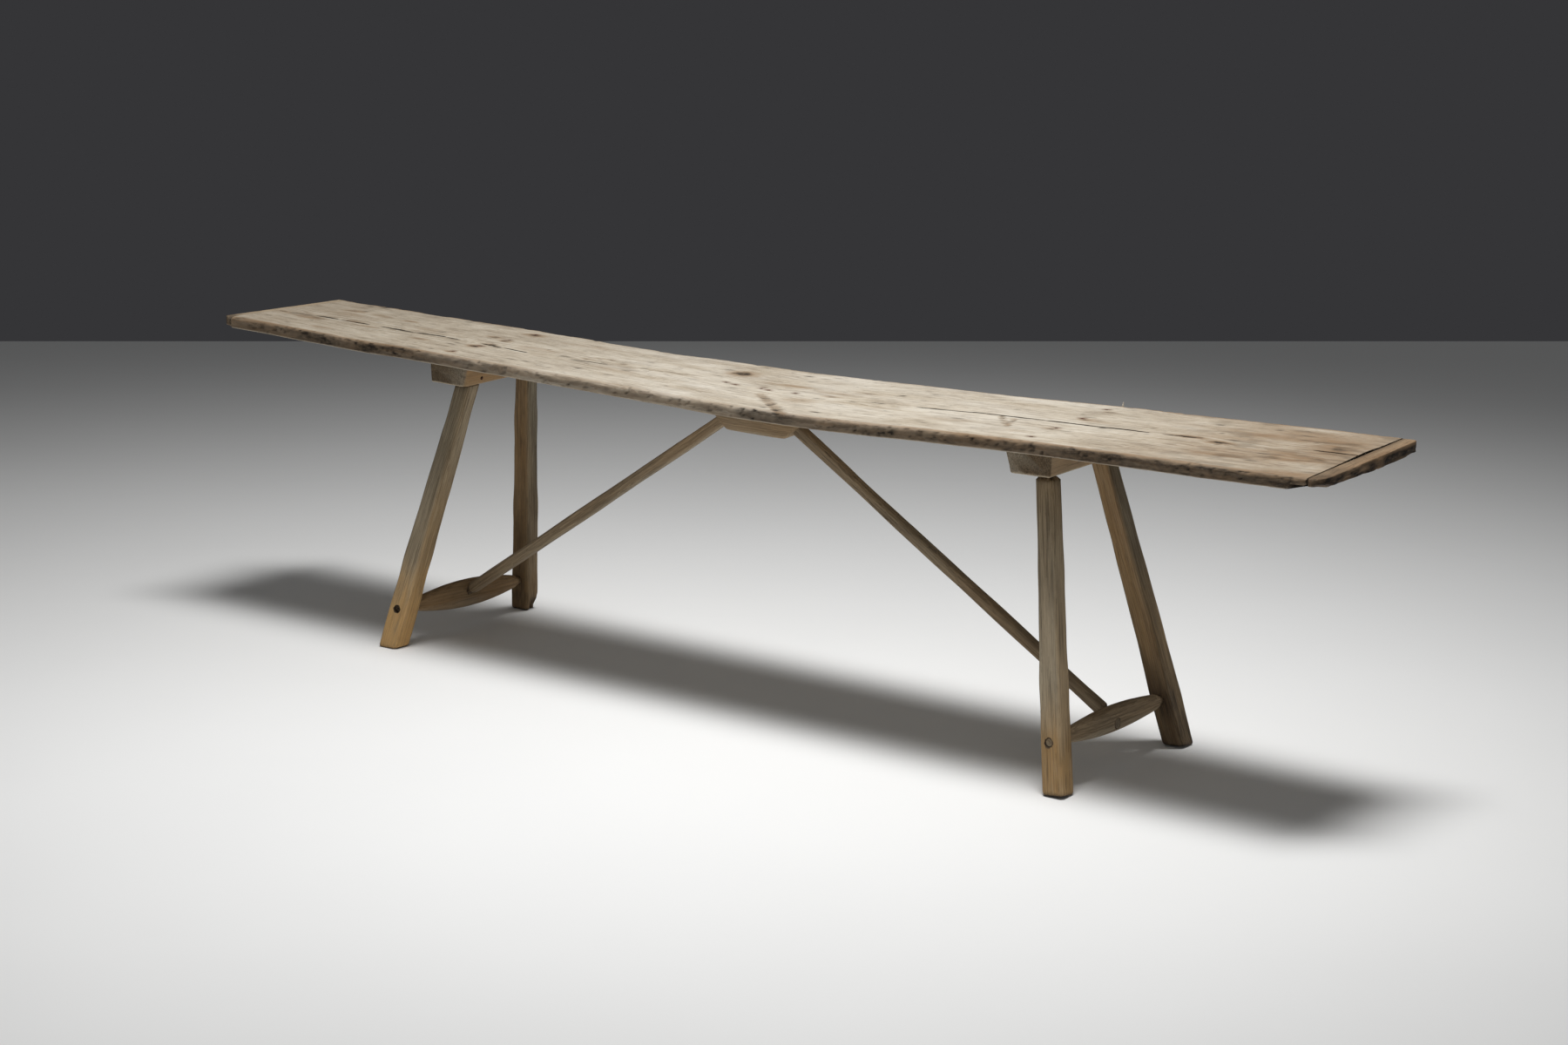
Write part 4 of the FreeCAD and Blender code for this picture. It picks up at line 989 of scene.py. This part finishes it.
# %% Build the braces and the stretchers
BLOCK_MIDDLE, BLOCK_HALF, BLOCK_DEPTH, BLOCK_WIDTH, BLOCK_ANGLE = -9, 83, 76, 56, math.radians(40)
BLOCK_EXTRA = 3
SEAT_GAP, BRACE_RISE, BRACE_WIDTH, BRACE_CUT, BRACE_START = 0.2, 17, 27, 4.9, 30
BLOCK_LOW = float(under(0)) - SEAT_GAP - BLOCK_DEPTH


def brace_line(side, sign):
    """From the middle of the stretcher up to the sloping end of the block."""
    low, high = stretcher_line(side)
    out = BLOCK_HALF + BRACE_RISE / math.tan(BLOCK_ANGLE)
    return (low + high) / 2, np.array([BLOCK_MIDDLE + sign * out, 0, BLOCK_LOW + BRACE_RISE])


def brace(side, sign, seed):
    """A brace as a sweep from the outer face of its stretcher into the block."""
    start, end = brace_line(side, sign)
    length, axis = np.linalg.norm(end - start), unit(end - start)
    level = unit(np.cross((0, 0, 1), axis))
    up = np.cross(axis, level)
    front, back = stretcher_line(side)
    face = unit(sign * np.cross(back - front, (0, 0, 1)))
    facing = axis @ face
    flush = RAIL_THICK / 2 / facing
    s = np.concatenate([[flush + 0.3, flush + 2, 0, 12, 19, 22, 25, 28, 31],
                        np.linspace(35, length - 12, 150), [length - 4, length + 8]])[:, None]
    wide, high = BRACE_WIDTH + 0.9 * wave(s, 140, seed), BRACE_WIDTH + 1.2 * wave(s, 160, seed + 1)
    angles = around(56)
    reach = softened(angles, cut_rectangle(wide, high, BRACE_CUT + 1.6 * wave(s, 110, seed + 2)), 0, 34)
    round_end = soft_step(BRACE_START + 3, BRACE_START - 8, s)
    reach = reach * (1 - round_end) + BRACE_TENON / 2 * round_end
    spot = in_wood(s + 40 * seed, angles, reach)
    reach = reach + (1 - round_end) * uneven(spot, seed + 3, (0.35, 110, 12), (0.2, 26, 5))
    bend = soft_step(0, 250, s) * soft_step(length, length - 250, s) * 1.6 * wave(s, 330, seed + 5)
    loops = sweep(start + s * axis + bend * up, level, up, angles, reach)[0]
    lean = (s * facing - (loops - start) @ face) / facing * soft_step(12, 0, s)
    loops = loops + lean[..., None] * axis
    dark = (-0.05 if side == "left" else 0.12) + 0.1 * lumps(spot, (150, 30), seed + 6)
    # Painted shade: the whittled foot is darker, a ring of shade where it goes into the stretcher
    dark = dark + (0.45 - 0.2 * sign) * round_end
    brown = 0.2 + 0.3 * lumps(spot, (190, 30), seed + 7)
    # Painted highlight: the underside is paler, where light from the floor falls on it
    pale = 0.15 + 0.2 * soft_step(-0.5, -0.85, np.sin(angles))
    return skin(f"brace_{side}_piece", (loops, spot, (dark, brown, pale, 0)))


braces = {side: brace(side, sign, 241 + 20 * sign) for side, sign in SIDES.items()}
stretchers = {side: stretcher(side, sign, 201 + 12 * sign) for side, sign in SIDES.items()}
print("braces and stretchers:", len(braces) + len(stretchers))

# %% [markdown]
# The block is swept from its front to its back. Its top is laid to the bow of the plank, and its foot
# hangs a little lower than it was drawn.


# %% Build the block
def centre_block(seed):
    """The block, under the middle of the plank."""
    y, inset = stations(BLOCK_WIDTH, 4, 6)
    flare, low = BLOCK_DEPTH / math.tan(BLOCK_ANGLE), BLOCK_DEPTH / 2
    corners = [(-BLOCK_HALF, -low), (BLOCK_HALF, -low), (BLOCK_HALF + flare, low), (-BLOCK_HALF - flare, low)]
    angles = around(160, 2.6)
    reach = softened(angles, corners, inset, 30)
    spot = stacked(reach * np.cos(angles), y, reach * np.sin(angles))
    free = soft_step(0.6, 0.2, spot[..., 2] / low)
    reach = reach + free * uneven(spot, seed, (0.6, 60, 20), (0.25, 20, 6))
    middles = np.array([BLOCK_MIDDLE, 0, BLOCK_LOW + low]) + y * np.array([0, 1, 0])
    loops, a, b = sweep(middles, (1, 0, 0), (0, 0, 1), angles, reach)
    rise = under(loops[..., 0]) - under(0.0)
    loops[..., 2] += rise * soft_step(-0.2, 0.9, b / low) + warp(loops[..., 0], loops[..., 1])
    loops[..., 2] -= BLOCK_EXTRA * soft_step(0.2, -0.8, b / low)
    dark = 0.12 * soft_step(0.3, 0.9, lumps(spot, (40, 16), seed + 2))
    brown = 0.4 + 0.3 * lumps(spot, (80, 20), seed + 3)
    # Painted highlight: the lower part is paler, where light from the floor falls on it
    pale = 0.1 + 0.4 * soft_step(-0.6, -0.95, b / low)
    return skin("centre_block_piece", (loops, stacked(a, y, b + 120), (dark, brown, pale, 0)))


block = centre_block(281)
print("block", round(BLOCK_LOW, 1), "mm above the floor")

# %% [markdown]
# ## Forged nails
#
# Square-shanked iron nails hold the plank to the battens and the block, the clamps to the plank and
# the leg tenons in the battens. Only their hammered, rusted heads show, but the whole nail is made,
# so that a lifted piece would still be right. One sweep gives the domed head, the shank and the tip.

# %% Build the nails
NAIL_HEAD, NAIL_SHANK, NAIL_TIP = 9, 4.6, 1.6
BLOCK_NAIL, BATTEN_NAIL, CLAMP_NAIL, LOCK_NAIL = 66, 62, 78, 56
CLAMP_SHARES = {"left": (-0.62, 0.05, 0.66), "right": (0.1, 0.45, 0.86)}


def nail(at, into, length, seed):
    """A nail's loops, with its head at a point and its shank pointing into the wood."""
    at, into = np.array(at, float), np.array(into, float)
    side = unit(np.cross(into, (0.2, 1, 0.1)))
    depth = np.array([-0.6, -0.45, -0.1, 0.5, 2, 2.05, length - 3, length])[:, None]
    tail = np.array([NAIL_SHANK, 2 * NAIL_TIP, NAIL_TIP]) / NAIL_HEAD
    width = np.concatenate([[0.3, 0.66, 0.92, 1, 0.93], tail])[:, None]
    angles = around(20)
    head = softened(angles, cut_rectangle(NAIL_HEAD, NAIL_HEAD, 0.29 * NAIL_HEAD), 0, 14)
    shank = softened(angles, cut_rectangle(NAIL_HEAD, NAIL_HEAD, 0.03 * NAIL_HEAD), 0, 20)
    reach = np.where(depth > 2, shank, head) * width
    spot = at + stacked(reach * np.cos(angles), reach * np.sin(angles), depth)
    reach = reach * (1 + 0.1 * lumps(spot, 4, seed))
    loops = sweep(at + depth * into, side, np.cross(into, side), angles, reach)[0]
    return loops, spot, (0, 0, 0, 0)


def nails_down(places, length, seed):
    """Nails driven straight down, with their heads on the worn upper face."""
    x, y = np.array(places, float).T
    z = under(x) + DEPTH + warp(x, y) + upper_face(x, y)[0]
    return [nail(at, (0, 0, -1), length, seed + i) for i, at in enumerate(stacked(x, y, z))]


nails = {"block_nails": nails_down(BLOCK_NAILS, BLOCK_NAIL, 301)}
for side, sign in SIDES.items():
    nails[f"batten_nails_{side}"] = nails_down(BATTEN_NAILS[side], BATTEN_NAIL, 311)
    found = []
    for i, share in enumerate(CLAMP_SHARES[side]):
        y = share * HALF_WIDTH
        skew = LEFT_SKEW * (1 + share) / 2 if sign < 0 else RIGHT_SKEW * (1 - share) / 2
        x = sign * (HALF_LENGTH - skew - 1.4)
        z = float(under(x)) + DEPTH / 2 + float(warp(x, y))
        found.append(nail((x, y, z), (-sign * math.cos(SAG), 0, -math.sin(SAG)), CLAMP_NAIL, 331 + i))
    nails[f"clamp_nails_{side}"] = found
    x = sign * (BATTEN_OUT - BATTEN_HALF_TOP + INNER_SLOPE * 0.75)
    z = BATTEN_SEAT - BATTEN_HEIGHT * 0.75
    nails[f"leg_lock_nails_{side}"] = [
        nail((x, FEET[f"{row}_{side}"][2] + out, z), (sign, 0, 0), LOCK_NAIL, 351 + out)
        for row, out in (("front", -9), ("back", 9))]
nail_groups = {name: skin(f"{name}_forged", *found) for name, found in nails.items()}
print("nails:", sum(map(len, nails.values())))

# %% [markdown]
# ## Weathered wood
#
# Every wooden piece is old, bare wood: sawn or drawn, then washed, bleached and handled for years.
# The soft early wood has worn away between the hard late wood, so the grain can be felt. The finish
# is built from the grain coordinates, in millimetres: growth rings round a pith that wanders, fibres
# drawn out along the grain, and slow clouds of bleaching. The marks put dirt and painted shade,
# brown, bleach and painted highlight, and rust where the mesh says. Only tones, rings and the size of
# the mottling differ from wood to wood.


# %% The finish of old bare wood
RUST_TONE = "5A3620"


def old_wood(name, tones, sizes, ring_mm, pith, contrast):
    """tones are the dark, middle and pale wood, brown stain, bleach and dirt, as hex values: the bleach
    tone also paints highlights and the dirt tone also paints shade. sizes are the lengths along and
    across the grain, in millimetres, of each kind of mottling."""
    material, tree = new_material(name)
    grain = add(tree, "Attribute", attribute_name="grain").outputs["Vector"]
    marks = add(tree, "Attribute", attribute_name="marks")
    mark = add(tree, "SeparateColor", {"Color": marks.outputs["Color"]})
    mottle = {}
    for kind, (along, across) in sizes.items():
        shares = (1 / along, 1 / across, 1 / across)
        spread = combine(tree, "MULTIPLY", grain, shares, kind="VectorMath")
        noise = add(tree, "TexNoise", {"Vector": spread, "Scale": 1.0, "Detail": 5.0, "Roughness": 0.62})
        mottle[kind] = noise.outputs["Fac"]
        if kind == "clouds":
            wander = noise.outputs["Color"]

    # The pith wanders by some millimetres over a hand's length, which bends the lines of the rings
    drift = combine(tree, "MULTIPLY", wander, (0, 26, 26), kind="VectorMath")
    moved = combine(tree, "ADD", grain, pith, kind="VectorMath")
    moved = combine(tree, "ADD", moved, drift, kind="VectorMath")
    rings = add(tree, "TexWave", {"Vector": moved, "Scale": 0.314 / ring_mm, "Distortion": 0.8,
                                  "Detail": 2.0, "Detail Scale": 0.4},
                wave_type="RINGS", rings_direction="X", wave_profile="SAW")

    # Weathering: fibres, wider bands, slow clouds and grit are added up, and the sum picks the tone
    tone = combine(tree, "MULTIPLY", rings.outputs["Fac"], 0.1)
    for kind, part in (("fibres", 0.3), ("bands", 0.25), ("clouds", 0.2), ("grit", 0.15)):
        tone = combine(tree, "MULTIPLY_ADD", mottle[kind], part, tone)
    colour = ramp(tree, tone, (0.5 - contrast, tones[0]), (0.5 + contrast, tones[2]), (0.5, tones[1]))

    # Short dark checks everywhere, then the marks: dirt and painted shade lie in grains, the others,
    # painted highlight among them, follow the fibres
    checks = remap(tree, mottle["checks"], 0.57, 0.72)
    ragged = remap(tree, mottle["fibres"], 0.32, 0.68, 0.5, 1.15)
    grains = remap(tree, mottle["grit"], 0.34, 0.66, 0.65, 1.3)
    for amount, spread, tint, most in (
            (mark.outputs["Blue"], ragged, tones[4], 0.75), (mark.outputs["Green"], ragged, tones[3], 0.8),
            (checks, ragged, tones[5], 0.5), (marks.outputs["Alpha"], ragged, RUST_TONE, 0.8),
            (mark.outputs["Red"], grains, tones[5], 0.9)):
        share = combine(tree, "MULTIPLY", amount, spread)
        share = combine(tree, "MULTIPLY", share, most, use_clamp=True)
        mixed = add(tree, "Mix", {"Factor": share, 6: colour, 7: linear(tint)}, data_type="RGBA")
        colour = mixed.outputs[2]

    height = combine(tree, "MULTIPLY_ADD", mottle["grit"], 0.5, mottle["fibres"])
    height = combine(tree, "MULTIPLY_ADD", checks, -0.5, height)
    bump = add(tree, "Bump", {"Height": height, "Strength": 0.6, "Distance": 0.002})
    rough = remap(tree, mottle["fibres"], 0.25, 0.75, 0.92, 0.72)
    surface(tree, {"Base Color": colour, "Roughness": rough, "Normal": bump.outputs[0], "IOR": 1.45})
    return material


# The plank's mottling is coarse, as its open fibres and washed-out bands are, the sticks' is fine
COARSE = {"fibres": (80, 8), "bands": (150, 32), "clouds": (320, 110), "checks": (34, 9), "grit": (18, 8)}
FINE = {"fibres": (110, 3), "bands": (190, 11), "clouds": (260, 45), "checks": (34, 2.8), "grit": (42, 4)}
plank_wood = old_wood("bleached_spruce_sawn", ("796A5A", "AFA28E", "C8C0B1", "83633F", "D6D0C4", "2A2014"),
                      COARSE, 6.5, (0, 8, 70), 0.13)
clamp_wood = old_wood("worn_spruce_end_piece", ("675642", "A08B70", "BDAA8E", "7F6040", "CBBFA8", "221910"),
                      COARSE, 5, (0, 30, 25), 0.13)
leg_wood = old_wood("sawn_beech_grey", ("4F4536", "857963", "AEA28A", "D0A262", "BDB39E", "261C12"),
                    FINE, 4.5, (0, 60, 50), 0.12)
rail_wood = old_wood("sawn_beech_brown", ("4A3F2F", "7E6D55", "A39174", "A8804E", "D6CBB4", "251B12"),
                     FINE, 4.5, (0, 55, 40), 0.12)
print("wood finishes:", plank_wood.name, clamp_wood.name, leg_wood.name, rail_wood.name)

# %% [markdown]
# ## Rusted iron
#
# The nails are wrought iron that was forged black and then rusted in damp wood. Rust is no longer a
# bare metal, so the shader is rough and only partly metallic where dark scale is left on the head.

# %% The finish of the nails
nail_iron, tree = new_material("forged_iron_rusted")
place = add(tree, "NewGeometry")
grit = add(tree, "TexNoise", {"Vector": place.outputs["Position"], "Scale": 420.0, "Detail": 5})
rust = ramp(tree, grit.outputs["Fac"], (0.38, "241C17"), (0.66, "6A3F24"))
bump = add(tree, "Bump", {"Height": grit.outputs["Fac"], "Strength": 0.6, "Distance": 0.0005})
scale = remap(tree, grit.outputs["Fac"], 0.38, 0.6, 0.7, 0.0)
surface(tree, {"Base Color": rust, "Metallic": scale, "Roughness": 0.72, "Normal": bump.outputs[0]})
print("nail finish:", nail_iron.name)

# %% [markdown]
# ## Put it together
#
# Every piece takes its finish, stands in for its node of the imported model and rides on the one body
# that the table has: nothing on it moves.

# %% Finish every piece
made = {"top_plank": (top_plank, plank_wood, "plank_wood"),
        "end_clamp_left": (clamp_left, clamp_wood, "clamp_wood"),
        "end_clamp_right": (clamp_right, clamp_wood, "clamp_wood"),
        "centre_block": (block, rail_wood, "frame_wood")}
for side in SIDES:
    for kind, pair in (("batten", battens), ("stretcher", stretchers), ("brace", braces)):
        made[f"{kind}_{side}"] = (pair[side], rail_wood, "frame_wood")
for name, piece in legs.items():
    made[f"leg_{name}"] = (piece, leg_wood, "leg_wood")
for name, piece in nail_groups.items():
    made[name] = (piece, nail_iron, "nail_iron")
for node, (piece, finish, slot) in made.items():
    piece.data.materials.clear()
    piece.data.materials.append(finish)
    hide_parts(node)
    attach(piece, "root")
bpy.context.view_layer.update()
print("pieces:", len(made), "faces:", sum(len(row[0].data.polygons) for row in made.values()))
